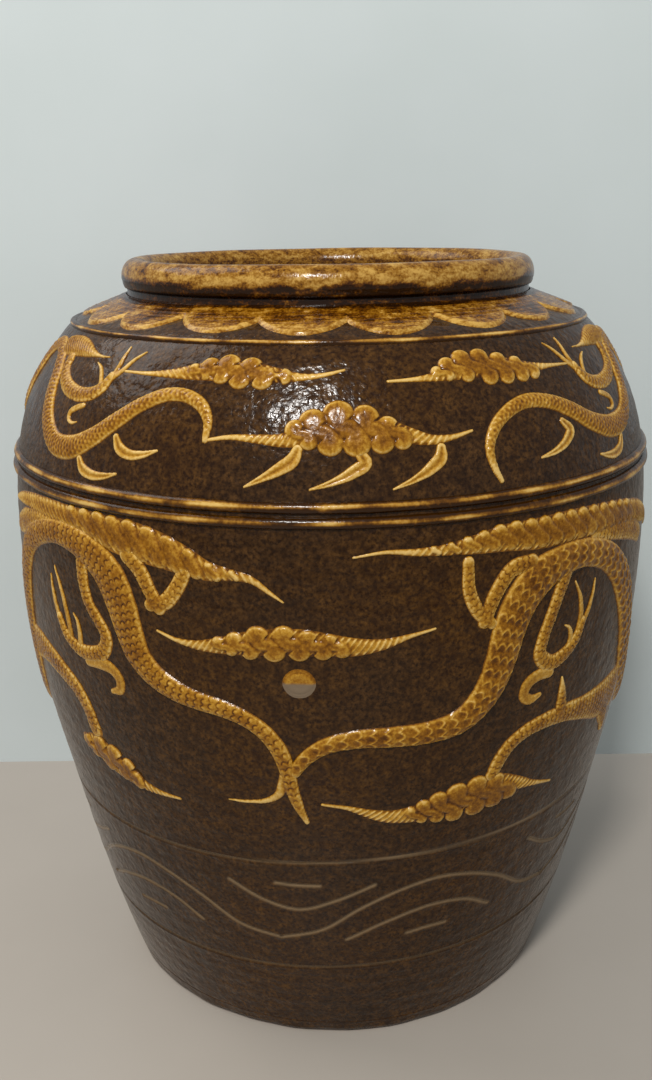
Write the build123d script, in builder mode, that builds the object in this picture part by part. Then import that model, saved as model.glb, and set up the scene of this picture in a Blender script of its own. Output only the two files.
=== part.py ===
from build123d import *
import os
from math import cos, radians, sin

os.makedirs("parts", exist_ok=True)

# A large glazed storage jar. It stands on z = 0 with its axis on Z, and its front faces -Y.
# Angles are degrees round the axis from the front: plus is to the right, minus to the left.

# The pot
wall_thickness = 13
base_thickness = 16
foot_bevel = 3
base_radius = 216
belly_radius = 297.5
shoulder_line_radius = 236
neck_radius = 186
mouth_radius = 165
wave_foot_height = 92
wave_top_height = 214
belly_height = 450
belt_height = 516.5
shoulder_line_height = 633
neck_foot_height = 655
neck_top_height = 662
jar_height = 687
rim_radius = 190
seam_drop = 12
shoulder_seam_share = 0.53

# Each place on the outer line: share of the rise, then share of the swell or of the draw-in
flare_shares = ((0.127, 0.21), (0.284, 0.43), (0.476, 0.66), (0.667, 0.87), (0.857, 0.98))
shoulder_shares = ((0.43, 0.90), (0.70, 0.64), (0.885, 0.30))
neck_slope_shares = ((0.55, 0.49),)

# Raised lines and ridges
ridge_radius = 4.6
ridge_spacing = 11
ridge_sink = 0.6
line_radius = 3.2
line_sink = 0.8

# Grooves drawn in the wet wall
groove_width = 4
groove_depth = 1.5
ring_groove_radius = 2
wave_count = 6
wave_phase = 19

# Applied slip relief
collar_thickness = 2.2
collar_radius = 219
lobe_count = 19
lobe_turn = 5.5
lobe_reach = 12
upper_body_width = 21
upper_body_rise = 4.5
lower_body_width = 36
lower_body_rise = 6
limb_rise = 3.6
upper_limb_width = 12
lower_limb_width = 13
claw_width = 6
claw_rise = 2.4
lick_width = 8.5
lick_rise = 2.6
crest_rise = 4.6
upper_crest_width = 20
lower_crest_width = 30
hind_leg_width = 17
cloud_width = 24
large_cloud_width = 32
cloud_rise = 3.6
puff_radius = 11
puff_sink = 6.2
dab_width = 24
dab_height = 19
dab_rise = 1.8
pearl_radius = 13
pearl_sink = 6
slip_gap = 0.3
overrun = 5
band_sink_share = 0.25


# The outer line of the pot, from its foot to the root of the neck
def outer_places():
    places = [(base_radius, 0)]
    for height_share, swell_share in flare_shares:
        swell = swell_share * (belly_radius - base_radius)
        places.append((base_radius + swell, height_share * belly_height))
    places.append((belly_radius, belly_height))
    for height_share, radius_share in shoulder_shares:
        rise = height_share * (shoulder_line_height - belly_height)
        reach = radius_share * (belly_radius - shoulder_line_radius)
        places.append((shoulder_line_radius + reach, belly_height + rise))
    places.append((shoulder_line_radius, shoulder_line_height))
    for height_share, radius_share in neck_slope_shares:
        rise = height_share * (neck_foot_height - shoulder_line_height)
        reach = radius_share * (shoulder_line_radius - neck_radius)
        places.append((neck_radius + reach, shoulder_line_height + rise))
    places.append((neck_radius, neck_foot_height))
    return places


with BuildLine(Plane.XZ) as outer_line:
    Spline(*outer_places())
outer_edge = outer_line.edges()[0]


# The point on the outer line at one height, found by halving, with its outward direction
def line_point(height):
    low, high = 0.0, 1.0
    for step in range(26):
        middle = (low + high) / 2
        if outer_edge.position_at(middle).Z < height:
            low = middle
        else:
            high = middle
    point = outer_edge.position_at(low)
    along = outer_edge.tangent_at(low)
    return point.X, Vector(along.Z, 0, -along.X)


# The same point carried round the axis, and the way the wall faces there
def wall_spot(angle, height):
    radius, outward = line_point(height)
    turn = Vector(sin(radians(angle)), -cos(radians(angle)), 0)
    spot = turn * radius + Vector(0, 0, height)
    facing = turn * outward.X + Vector(0, 0, outward.Z)
    return spot, facing


def upper_height(share):
    low = belt_height + ridge_spacing / 2
    return low + share * (shoulder_line_height - low)


def lower_height(share):
    high = belt_height - ridge_spacing / 2
    return wave_top_height + share * (high - wave_top_height)


# Domed cross sections of a band of slip that follows a path on the wall
def band_sections(places, side, turn, height_of, width, rise, squared=False):
    spots = []
    for angle, height_share, width_share in places:
        spots.append(wall_spot(side * (angle + turn), height_of(height_share)))
    sections = []
    for number, (spot, facing) in enumerate(spots):
        before = spots[max(number - 1, 0)][0]
        after = spots[min(number + 1, len(spots) - 1)][0]
        along = (after - before).normalized()
        across = along.cross(facing).normalized()
        width_share = places[number][2]
        height_share = min(1, 0.35 + width_share)
        centre = spot - facing * (band_sink_share * rise * height_share)
        with BuildSketch(Plane(origin=centre, x_dir=across, z_dir=along)) as section:
            if squared:
                Rectangle(width * width_share + 2 * slip_gap, 6 * rise)
            else:
                reach, lift = width * width_share / 2, rise * height_share
                with BuildLine():
                    EllipticalCenterArc((0, 0), reach, lift, start_angle=90, arc_size=180)
                    EllipticalCenterArc((0, 0), reach, lift, start_angle=270, arc_size=180)
                make_face()
        sections.append(section.sketch)
    return sections


def ruled_spans(sections):
    spans = []
    for first, second in zip(sections, sections[1:]):
        with BuildPart() as span:
            loft([first, second], ruled=True)
        spans.append(span.part)
    return spans


def lay_band(places, side, turn, height_of, width, rise):
    add(ruled_spans(band_sections(places, side, turn, height_of, width, rise)))


# The strip of wall that a band covers, as squared cutters a little wider than the band
def band_room(places, side, turn, height_of, width, rise):
    return ruled_spans(band_sections(places, side, turn, height_of, width, rise, squared=True))


# Round puffs of a cloud, each a low dome on the wall
def lay_puffs(places, side, turn, height_of):
    for angle, height_share in places:
        spot, facing = wall_spot(side * (angle + turn), height_of(height_share))
        with Locations(spot - facing * puff_sink):
            Sphere(puff_radius)


# The space that those puffs take, as cutters a little larger
def puff_room(places, side, turn, height_of):
    rooms = []
    for angle, height_share in places:
        spot, facing = wall_spot(side * (angle + turn), height_of(height_share))
        with BuildPart() as room:
            with Locations(spot - facing * puff_sink):
                Sphere(puff_radius + slip_gap)
        rooms.append(room.part)
    return rooms


# The full outer shape of the pot, used to cut the underside of what lies on it
with BuildSketch(Plane.XZ) as pot_profile:
    with BuildLine():
        Spline(*outer_places())
        Polyline((neck_radius, neck_foot_height), (0, neck_foot_height), (0, 0), (base_radius, 0))
    make_face()

with BuildPart() as pot_core:
    revolve(profiles=pot_profile.sketch, axis=Axis.Z)


def seat_on_wall():
    add(pot_core.part, mode=Mode.SUBTRACT)


# The wall's cross section between two seams, each sloping down towards the inside
def wall_profile(low, low_drop, high, high_drop):
    far = belly_radius + overrun
    near = neck_radius - wall_thickness - overrun
    outer = outer_places()
    inner = []
    for radius, height in outer:
        outward = line_point(height)[1]
        inner.append((radius - wall_thickness * outward.X, height - wall_thickness * outward.Z))
    slope_low = low_drop / wall_thickness
    slope_high = high_drop / wall_thickness
    low_radius = line_point(low)[0]
    high_radius = line_point(high)[0]
    with BuildSketch(Plane.XZ) as profile:
        with BuildLine():
            Spline(*outer)
            Line(outer[-1], inner[-1])
            Spline(*inner)
            Line(inner[0], outer[0])
        make_face()
        with BuildSketch(Plane.XZ, mode=Mode.PRIVATE) as window:
            with BuildLine():
                Polyline(
                    (far, low + slope_low * (far - low_radius)),
                    (far, high + slope_high * (far - high_radius)),
                    (near, high + slope_high * (near - high_radius)),
                    (near, low + slope_low * (near - low_radius)),
                    close=True,
                )
            make_face()
        add(window.sketch, mode=Mode.INTERSECT)
    return profile.sketch


# The base is a thrown disc, and the wall is built up on it in sections
with BuildPart() as base_slab:
    with BuildSketch(Plane.XZ):
        add(pot_profile.sketch)
        with Locations((0, base_thickness)):
            Rectangle(
                2 * belly_radius + overrun,
                jar_height,
                align=(Align.CENTER, Align.MIN),
                mode=Mode.SUBTRACT,
            )
        with Locations((base_radius, 0)):
            Rectangle(foot_bevel, foot_bevel, rotation=45, mode=Mode.SUBTRACT)
    revolve(axis=Axis.Z)


# A round groove run into the outer face at one height
def ring_groove(height):
    with BuildSketch(Plane.XZ, mode=Mode.PRIVATE) as section:
        with Locations((line_point(height)[0], height)):
            Circle(ring_groove_radius)
    revolve(profiles=section.sketch, axis=Axis.Z, mode=Mode.SUBTRACT)


# Waves combed into the foot band: a long wave, a bow in each trough, one under each crest, two dashes
wave_places = (
    (-38, 0.38), (-30, 0.3), (-22, 0.38), (-14, 0.58), (-7, 0.7), (0, 0.75),
    (7, 0.7), (14, 0.58), (22, 0.38), (30, 0.3), (38, 0.38),
)
trough_places = ((-43, 0.8), (-37, 0.66), (-30, 0.58), (-23, 0.66), (-16, 0.78))
crest_places = ((-17, 0.28), (-9, 0.42), (0, 0.5), (7, 0.46), (13, 0.33))
high_dash_places = ((-33, 0.82), (-29, 0.805), (-25, 0.8))
low_dash_places = ((-5, 0.27), (-1, 0.29), (3, 0.29))


def wave_height(share):
    return wave_foot_height + share * (wave_top_height - wave_foot_height)


def wave_cutters():
    cutters = []
    step = 360 / wave_count
    for places in (wave_places, trough_places, crest_places, high_dash_places, low_dash_places):
        stations = [(angle * step / 60, share, 1) for angle, share in places]
        sections = band_sections(stations, 1, wave_phase, wave_height, groove_width, groove_depth)
        if places is wave_places:
            sections = sections[1:-1]
        with BuildPart() as cutter:
            loft(sections)
        for number in range(wave_count):
            cutters.append(cutter.part.rotate(Axis.Z, number * step))
    return cutters


# The potter builds the wall from rings of clay, and each ring is luted to the one below it
belly_seam_height = (wave_top_height + belt_height) / 2
shoulder_seam_height = belt_height + shoulder_seam_share * (shoulder_line_height - belt_height)

with BuildPart() as lower_wall:
    revolve(profiles=wall_profile(base_thickness, 0, wave_top_height, seam_drop), axis=Axis.Z)
    ring_groove(wave_foot_height)
    ring_groove(wave_top_height)
    add(wave_cutters(), mode=Mode.SUBTRACT)

with BuildPart() as belly_wall:
    revolve(profiles=wall_profile(wave_top_height, seam_drop, belly_seam_height, seam_drop), axis=Axis.Z)
    ring_groove(wave_top_height)

with BuildPart() as upper_belly_wall:
    revolve(profiles=wall_profile(belly_seam_height, seam_drop, belt_height, seam_drop), axis=Axis.Z)

with BuildPart() as shoulder_wall:
    revolve(profiles=wall_profile(belt_height, seam_drop, shoulder_seam_height, seam_drop), axis=Axis.Z)

with BuildPart() as upper_shoulder_wall:
    revolve(
        profiles=wall_profile(shoulder_seam_height, seam_drop, shoulder_line_height, seam_drop), axis=Axis.Z
    )

with BuildPart() as collar_wall:
    with BuildSketch(Plane.XZ) as collar_profile:
        add(wall_profile(shoulder_line_height, seam_drop, 2 * jar_height, 0))
        with Locations((0, 0)):
            Rectangle(2 * neck_radius, 4 * jar_height, mode=Mode.SUBTRACT)
    revolve(axis=Axis.Z)

# The neck is a collar luted inside the opening of the shoulder
with BuildPart() as neck_ring:
    with BuildSketch(Plane.XZ):
        with Locations((mouth_radius, neck_top_height)):
            Rectangle(
                neck_radius - mouth_radius,
                neck_top_height - neck_foot_height + wall_thickness,
                align=(Align.MIN, Align.MAX),
            )
    revolve(axis=Axis.Z)

# The rim is a fat roll that sits on the neck
rim_reach = (rim_radius - mouth_radius) / 2
rim_half_height = (jar_height - neck_foot_height) / 2
rim_centre = (rim_radius - rim_reach, jar_height - rim_half_height)
with BuildPart() as rim_roll:
    with BuildSketch(Plane.XZ):
        with Locations(rim_centre):
            Ellipse(rim_reach, rim_half_height)
        with Locations((rim_centre[0], neck_top_height)):
            Rectangle(
                4 * rim_reach,
                rim_half_height,
                align=(Align.CENTER, Align.MAX),
                mode=Mode.SUBTRACT,
            )
    revolve(axis=Axis.Z)


# A raised line is a round bead with its centre just inside the wall face
def bead(height, radius, sink):
    with BuildSketch(Plane.XZ, mode=Mode.PRIVATE) as section:
        with Locations((line_point(height)[0] - sink, height)):
            Circle(radius)
        add(pot_profile.sketch, mode=Mode.SUBTRACT)
    revolve(profiles=section.sketch, axis=Axis.Z)


with BuildPart() as belt_ridge_lower:
    bead(belt_height - ridge_spacing / 2, ridge_radius, ridge_sink)

with BuildPart() as belt_ridge_upper:
    bead(belt_height + ridge_spacing / 2, ridge_radius, ridge_sink)

with BuildPart() as shoulder_line:
    bead(shoulder_line_height, line_radius, line_sink)

# The petal collar is a skin of slip round the neck with a scalloped edge
with BuildPart() as petal_collar:
    with BuildSketch(Plane.XZ):
        with BuildLine():
            Spline(*[(radius, height + collar_thickness) for radius, height in outer_places()[-4:]])
            foot_radius, foot_height = outer_places()[-4]
            Polyline(
                (neck_radius, neck_foot_height + collar_thickness),
                (neck_radius, belt_height),
                (belly_radius, belt_height),
                (belly_radius, foot_height),
                (foot_radius, foot_height + collar_thickness),
            )
        make_face()
    revolve(axis=Axis.Z)
    with BuildSketch(Plane.XY, mode=Mode.PRIVATE) as scallops:
        Circle(collar_radius - lobe_reach / 2)
        with PolarLocations(collar_radius - 3 * lobe_reach, lobe_count, start_angle=-90 - lobe_turn):
            Circle(4 * lobe_reach)
    extrude(scallops.sketch, amount=jar_height, mode=Mode.INTERSECT)
    seat_on_wall()

# Upper dragons, each place: angle outward from the front, height share of its band, width share
upper_left_path = (
    (19, 0.41, 0.25), (19, 0.53, 0.4), (20.3, 0.61, 0.5), (23, 0.665, 0.55), (27, 0.67, 0.6),
    (31.5, 0.6, 0.65), (36, 0.48, 0.75), (41, 0.34, 0.85), (46, 0.25, 1), (51, 0.25, 1),
    (55, 0.36, 1), (58, 0.54, 0.95), (60.5, 0.72, 0.9), (64, 0.84, 0.8), (68.5, 0.88, 0.75),
    (73, 0.82, 0.85), (77, 0.62, 0.9), (81, 0.42, 0.95), (86, 0.28, 1), (93, 0.24, 1),
    (100, 0.34, 1), (106, 0.54, 0.95), (112, 0.74, 0.9), (119, 0.83, 0.85), (127, 0.76, 0.8),
    (134, 0.62, 0.75), (139, 0.52, 0.7),
)
upper_right_path = (
    (26, 0.1, 0.2), (25, 0.19, 0.3), (24.5, 0.31, 0.42), (26, 0.44, 0.5), (29, 0.53, 0.55),
    (33, 0.58, 0.6), (38, 0.56, 0.65), (43, 0.48, 0.75), (48, 0.37, 0.85), (54, 0.3, 1),
    (60, 0.33, 1), (64.5, 0.46, 1), (67.5, 0.63, 0.95), (71, 0.79, 0.9), (76, 0.87, 0.8),
    (81, 0.82, 0.85), (85, 0.65, 0.9), (89, 0.46, 0.95), (94, 0.31, 1), (100, 0.26, 1),
    (106, 0.34, 1), (111, 0.52, 0.95), (116, 0.7, 0.9), (122, 0.8, 0.85), (129, 0.76, 0.8),
    (135, 0.62, 0.75), (139, 0.52, 0.7),
)
upper_leg_path = (
    (57.5, 0.72, 1), (54, 0.63, 1), (50, 0.595, 0.95), (46.5, 0.59, 0.9), (43.5, 0.61, 0.85),
    (41.5, 0.67, 0.75), (40.7, 0.74, 0.6),
)
upper_claw_paths = (
    ((41.3, 0.69, 1), (40.3, 0.78, 0.9), (39.8, 0.87, 0.6), (39.4, 0.94, 0.25)),
    ((40.8, 0.73, 1), (38.8, 0.79, 0.8), (37, 0.86, 0.55), (34.8, 0.92, 0.2)),
    ((42.5, 0.65, 0.9), (43.3, 0.72, 0.8), (44.8, 0.79, 0.6), (46.5, 0.82, 0.2)),
)
upper_spur_path = (
    (45.2, 0.54, 0.8), (47, 0.515, 1), (48.5, 0.475, 0.9), (48.3, 0.432, 0.75), (47, 0.412, 0.5),
    (45.8, 0.425, 0.2),
)
upper_crest_path = (
    (51, 0.88, 0.1), (53.5, 0.875, 0.35), (56.5, 0.86, 0.7), (60, 0.84, 0.9), (63, 0.84, 0.9),
)
upper_left_lick_paths = (
    ((35.3, 0.375, 0.6), (34.3, 0.31, 1), (32.3, 0.275, 0.9), (29.5, 0.285, 0.6), (27, 0.32, 0.2)),
    ((43, 0.19, 0.6), (42, 0.13, 1), (40, 0.1, 0.9), (37, 0.105, 0.6), (34.3, 0.135, 0.2)),
)
upper_right_lick_paths = (
    ((40, 0.42, 0.6), (41.4, 0.355, 1), (40, 0.29, 0.9), (37.5, 0.24, 0.6), (34, 0.21, 0.2)),
    ((57, 0.215, 0.5), (56, 0.14, 0.95), (53.6, 0.105, 0.9), (51, 0.11, 0.6), (48.5, 0.135, 0.2)),
)
centre_lick_paths = (
    ((-4.8, 0.37, 0.7), (-5.4, 0.31, 1), (-7.5, 0.245, 0.9), (-10, 0.185, 0.5), (-12.5, 0.13, 0.15)),
    ((4.2, 0.345, 0.7), (5, 0.285, 1), (3.2, 0.225, 0.9), (0.3, 0.165, 0.5), (-3, 0.12, 0.15)),
    ((16.6, 0.35, 0.7), (16.4, 0.295, 1), (14.8, 0.23, 0.9), (12.2, 0.165, 0.5), (9, 0.11, 0.15)),
)
upper_skull_path = (
    (138, 0.53, 0.75), (142, 0.5, 1.15), (147, 0.49, 1.45), (151.5, 0.52, 1.25), (155, 0.56, 0.85),
    (158, 0.62, 0.5),
)
upper_jaw_path = ((145, 0.44, 0.75), (149, 0.36, 0.7), (153, 0.345, 0.5), (156.5, 0.39, 0.25))
upper_horn_path = ((146, 0.56, 0.5), (143.5, 0.7, 0.4), (140.5, 0.8, 0.28), (137, 0.88, 0.12))


# Bands laid on the wall, each stopping short of the rooms that its neighbours take
def seated_bands(paths, side, turn, height_of, width, rise, *rooms):
    for path in paths:
        lay_band(path, side, turn, height_of, width, rise)
    seat_on_wall()
    for room in rooms:
        for span in room:
            add(span, mode=Mode.SUBTRACT)


# A skull that meets the body, and a jaw and a horn that each stop at the skull
def head_parts(paths, side, height_of, width, rise, body_room):
    skull_room = band_room(paths[0], side, 0, height_of, width, rise)
    with BuildPart() as skull:
        seated_bands(paths[:1], side, 0, height_of, width, rise, body_room)
    parts = [skull.part]
    for path in paths[1:]:
        with BuildPart() as feature:
            seated_bands([path], side, 0, height_of, width, rise, skull_room)
        parts.append(feature.part)
    return parts


def finish(built, name):
    built.part.label = name
    export_step(built.part, "parts/" + name + ".step")


left, right = -1, 1
right_shift = 8.5
for side, name, path, shift, lick_paths in (
    (left, "upper_left", upper_left_path, 0, upper_left_lick_paths),
    (right, "upper_right", upper_right_path, right_shift, upper_right_lick_paths),
):
    with BuildPart() as dragon_body:
        seated_bands([path], side, 0, upper_height, upper_body_width, upper_body_rise)
    finish(dragon_body, name + "_dragon_body")
    body_room = band_room(path, side, 0, upper_height, upper_body_width, upper_body_rise)
    leg_room = band_room(upper_leg_path, side, shift, upper_height, upper_limb_width, limb_rise)
    with BuildPart() as dragon_crest:
        seated_bands(
            [upper_crest_path], side, shift, upper_height, upper_crest_width, crest_rise, body_room
        )
    finish(dragon_crest, name + "_dragon_crest")
    with BuildPart() as dragon_leg:
        seated_bands(
            [upper_leg_path], side, shift, upper_height, upper_limb_width, limb_rise, body_room
        )
    finish(dragon_leg, name + "_dragon_leg")
    with BuildPart() as dragon_claws:
        seated_bands(upper_claw_paths, side, shift, upper_height, claw_width, claw_rise, leg_room)
    finish(dragon_claws, name + "_dragon_claws")
    with BuildPart() as dragon_spur:
        seated_bands([upper_spur_path], side, shift, upper_height, claw_width, claw_rise, leg_room)
    finish(dragon_spur, name + "_dragon_spur")
    with BuildPart() as licks:
        seated_bands(lick_paths, side, 0, upper_height, lick_width, lick_rise)
    finish(licks, name + "_licks")
    with BuildPart() as dragon_head:
        add(
            head_parts(
                (upper_skull_path, upper_jaw_path, upper_horn_path), side, upper_height,
                upper_body_width, upper_body_rise, body_room,
            )
        )
    finish(dragon_head, name + "_dragon_head")

for built, name in (
    (base_slab, "base_slab"),
    (lower_wall, "lower_wall"),
    (belly_wall, "belly_wall"),
    (upper_belly_wall, "upper_belly_wall"),
    (shoulder_wall, "shoulder_wall"),
    (upper_shoulder_wall, "upper_shoulder_wall"),
    (collar_wall, "collar_wall"),
    (neck_ring, "neck_ring"),
    (rim_roll, "rim_roll"),
    (belt_ridge_lower, "belt_ridge_lower"),
    (belt_ridge_upper, "belt_ridge_upper"),
    (shoulder_line, "shoulder_line"),
    (petal_collar, "petal_collar"),
):
    finish(built, name)

# Lower dragons, in the wide band between the upper groove and the belt
lower_left_path = (
    (4.6, 0.15, 0.12), (5.8, 0.2, 0.25), (6.9, 0.27, 0.35), (7.5, 0.33, 0.4), (8.6, 0.385, 0.42),
    (10.4, 0.43, 0.42), (13.2, 0.467, 0.42), (17, 0.492, 0.45), (21.3, 0.507, 0.5), (25.3, 0.528, 0.58),
    (28.8, 0.563, 0.68), (31.2, 0.61, 0.78), (32.6, 0.675, 0.88), (33.8, 0.745, 0.97), (35.8, 0.815, 1),
    (39.5, 0.862, 0.85), (44, 0.888, 0.72), (49, 0.893, 0.62), (54.5, 0.873, 0.66), (60, 0.825, 0.75),
    (64, 0.75, 0.85), (67, 0.64, 0.95), (69, 0.52, 1), (70.5, 0.4, 1), (74, 0.28, 1),
    (81, 0.22, 1), (89, 0.24, 1), (95.5, 0.33, 1), (100, 0.46, 1), (104.5, 0.6, 0.95),
    (110, 0.72, 0.9), (118, 0.78, 0.85), (127, 0.76, 0.75), (134, 0.69, 0.65), (139, 0.64, 0.6),
)
lower_right_path = (
    (-6.2, 0.315, 0.3), (-4.6, 0.355, 0.36), (-1.6, 0.395, 0.42), (3, 0.415, 0.48), (9, 0.417, 0.55),
    (15, 0.42, 0.6), (19.8, 0.44, 0.68), (23, 0.485, 0.76), (25, 0.54, 0.84), (26.3, 0.605, 0.9),
    (27.3, 0.67, 0.95), (29, 0.74, 1), (32.2, 0.8, 1), (37, 0.832, 0.82), (42.5, 0.838, 0.72),
    (48.5, 0.81, 0.75), (54, 0.745, 0.88), (58.5, 0.65, 1), (61.8, 0.54, 1), (64.5, 0.42, 1),
    (69, 0.3, 1), (76, 0.22, 1), (85, 0.21, 1), (92.5, 0.28, 1), (98, 0.4, 1),
    (102.5, 0.54, 0.95), (108, 0.67, 0.9), (116, 0.75, 0.85), (126, 0.75, 0.75), (134, 0.69, 0.65),
    (139, 0.64, 0.6),
)
lower_left_crest_path = (
    (7, 0.8, 0.05), (9, 0.825, 0.12), (11.5, 0.855, 0.2), (14.5, 0.865, 0.3), (18, 0.87, 0.5),
    (22, 0.893, 0.75), (26.5, 0.913, 0.93), (31, 0.925, 0.97), (35.5, 0.932, 0.88), (40, 0.945, 0.68),
    (46, 0.956, 0.47), (53, 0.956, 0.4), (59, 0.95, 0.3), (64, 0.94, 0.15),
)
lower_right_crest_path = (
    (3, 0.915, 0.05), (7.5, 0.925, 0.1), (12.5, 0.92, 0.2), (17, 0.92, 0.3), (21.5, 0.925, 0.5),
    (26, 0.93, 0.68), (32, 0.925, 0.8), (39, 0.926, 0.82), (46, 0.93, 0.76), (52, 0.933, 0.66),
    (58, 0.93, 0.45), (63, 0.92, 0.2),
)
lower_left_knee_paths = (
    ((31.8, 0.885, 1), (29.6, 0.85, 0.95), (28, 0.8, 0.9), (26.4, 0.755, 0.8)),
    ((28, 0.758, 0.7), (25.6, 0.77, 0.85), (23.4, 0.81, 0.85), (21.8, 0.86, 0.8)),
)
lower_right_knee_paths = (
    ((31, 0.85, 1), (27.6, 0.845, 0.95), (24.8, 0.79, 0.9), (22.9, 0.715, 0.8)),
    ((24.2, 0.705, 0.6), (22, 0.74, 0.75), (20.3, 0.8, 0.75), (20, 0.88, 0.65)),
)
lower_left_leg_path = (
    (42, 0.85, 1), (42, 0.78, 0.95), (41, 0.72, 0.9), (39, 0.675, 0.9), (37.6, 0.635, 0.95),
    (38.6, 0.59, 1), (42, 0.565, 1), (46, 0.568, 0.95), (49, 0.6, 0.8), (50.2, 0.64, 0.6),
)
lower_right_leg_path = (
    (38.5, 0.8, 1), (37, 0.745, 0.95), (35.5, 0.685, 0.9), (34.2, 0.63, 0.9), (33.8, 0.58, 0.95),
    (36, 0.548, 1), (39.5, 0.56, 0.95), (42.3, 0.6, 0.8), (43.4, 0.64, 0.6),
)
lower_left_claw_paths = (
    ((49.9, 0.612, 1), (50.9, 0.66, 0.9), (51.6, 0.71, 0.6), (51.8, 0.76, 0.2)),
    ((47, 0.575, 1), (47.5, 0.65, 0.9), (48.5, 0.72, 0.7), (50.2, 0.79, 0.2)),
    ((44.6, 0.575, 1), (44.4, 0.62, 0.8), (44.8, 0.655, 0.5), (45.6, 0.67, 0.2)),
)
lower_right_claw_paths = (
    ((43, 0.62, 1), (44.8, 0.665, 0.8), (45.8, 0.71, 0.5), (46.2, 0.75, 0.2)),
    ((41.8, 0.59, 1), (42.8, 0.65, 0.9), (42.4, 0.71, 0.7), (40.8, 0.765, 0.2)),
    ((40.2, 0.57, 1), (40.6, 0.605, 0.8), (40, 0.635, 0.5), (39, 0.645, 0.2)),
)
lower_left_spur_path = (
    (43, 0.537, 0.8), (40, 0.545, 1), (37.2, 0.54, 1), (35.7, 0.513, 0.9), (36, 0.483, 0.8),
    (37.8, 0.47, 0.4),
)
lower_right_spur_path = (
    (36.4, 0.517, 0.8), (33.8, 0.52, 1), (31.6, 0.5, 1), (31.2, 0.47, 0.9), (32.6, 0.452, 0.8),
    (34.6, 0.458, 0.4),
)
lower_left_hind_paths = (
    ((67, 0.47, 1.5), (62, 0.485, 1.2), (57, 0.478, 1), (52, 0.455, 0.9), (48, 0.42, 0.85),
     (45.8, 0.37, 0.8), (44.8, 0.31, 0.8)),
)
lower_right_hind_paths = (
    ((61, 0.33, 2.2), (54, 0.33, 1.7), (47.5, 0.345, 1.2), (42, 0.362, 1), (37, 0.365, 0.9),
     (32.5, 0.352, 0.9), (29.5, 0.322, 0.9), (27.8, 0.28, 0.9), (26.8, 0.24, 0.8)),
    ((40.5, 0.37, 1), (40.3, 0.41, 0.8), (40, 0.45, 0.5), (39.6, 0.485, 0.15)),
)
lower_skull_path = (
    (137.5, 0.645, 0.7), (141, 0.62, 1.05), (146, 0.61, 1.3), (150.5, 0.625, 1.15),
    (154.5, 0.655, 0.8), (158, 0.695, 0.45),
)
lower_jaw_path = ((144.5, 0.565, 0.7), (148.5, 0.5, 0.65), (153, 0.485, 0.5), (156.5, 0.515, 0.25))
lower_horn_path = ((144.5, 0.65, 0.45), (142, 0.73, 0.36), (138.5, 0.79, 0.24), (134.5, 0.84, 0.1))

# Clouds
upper_left_cloud_path = (
    (38, 0.79, 0.06), (32.5, 0.79, 0.14), (27.5, 0.8, 0.35), (22.5, 0.82, 0.75), (17.5, 0.83, 0.95),
    (12.5, 0.825, 0.9), (8.5, 0.81, 0.6), (4.5, 0.8, 0.25), (0.5, 0.815, 0.12), (-2.5, 0.84, 0.05),
)
upper_left_puffs = (
    (21, 0.86), (17.2, 0.885), (13.4, 0.875), (9.8, 0.835), (19, 0.785), (15.2, 0.77), (11.6, 0.775),
)
upper_right_cloud_path = (
    (9.5, 0.765, 0.06), (14, 0.77, 0.14), (18, 0.78, 0.35), (21.5, 0.8, 0.7), (25, 0.815, 0.9),
    (29.5, 0.815, 0.9), (33.5, 0.8, 0.75), (37.5, 0.785, 0.4), (42, 0.778, 0.15), (46.6, 0.771, 0.05),
)
upper_right_puffs = (
    (22, 0.83), (25.4, 0.86), (29, 0.865), (32.6, 0.845), (36, 0.815), (23.8, 0.77), (27.4, 0.765),
    (31, 0.765),
)
upper_centre_cloud_path = (
    (-18.2, 0.413, 0.05), (-15, 0.435, 0.1), (-11, 0.43, 0.2), (-7, 0.425, 0.35), (-3.5, 0.46, 0.75),
    (0.5, 0.485, 0.95), (4.5, 0.485, 0.95), (8.5, 0.465, 0.8), (12, 0.435, 0.45), (15, 0.405, 0.25),
    (18.5, 0.41, 0.12), (22, 0.44, 0.04),
)
upper_centre_puffs = (
    (-1.8, 0.545), (2, 0.575), (5.8, 0.56), (9.2, 0.505), (-3.4, 0.41), (0.4, 0.39), (4.2, 0.385),
    (7.8, 0.4),
)
lower_centre_cloud_path = (
    (-27, 0.69, 0.05), (-23.5, 0.672, 0.12), (-20, 0.667, 0.3), (-16, 0.675, 0.6), (-12, 0.686, 0.9),
    (-8, 0.693, 1), (-4, 0.693, 1), (0, 0.685, 0.8), (4, 0.68, 0.55), (7.5, 0.685, 0.3),
    (11, 0.7, 0.12), (15, 0.715, 0.04),
)
lower_centre_puffs = (
    (-15.5, 0.682), (-12.4, 0.7), (-9.2, 0.717), (-5.8, 0.719), (-2.4, 0.712), (0.9, 0.7),
)
lower_left_cloud_path = (
    (49, 0.25, 0.4), (46, 0.25, 0.8), (42.5, 0.232, 1), (39, 0.21, 0.8), (35.5, 0.185, 0.4),
    (31.5, 0.172, 0.15), (27, 0.17, 0.05),
)
lower_left_puffs = ((47, 0.255), (43.8, 0.24), (40.8, 0.225))
lower_right_cloud_path = (
    (-2, 0.21, 0.05), (2, 0.197, 0.1), (5.5, 0.175, 0.25), (9, 0.158, 0.4), (13, 0.158, 0.6),
    (17, 0.168, 0.85), (21, 0.18, 1), (25, 0.192, 1), (29, 0.192, 0.9), (32.5, 0.18, 0.5),
    (37, 0.155, 0.15), (42, 0.13, 0.05),
)
lower_right_puffs = ((14.5, 0.168), (17.8, 0.182), (21.2, 0.194), (24.6, 0.204), (28, 0.205))
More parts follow.
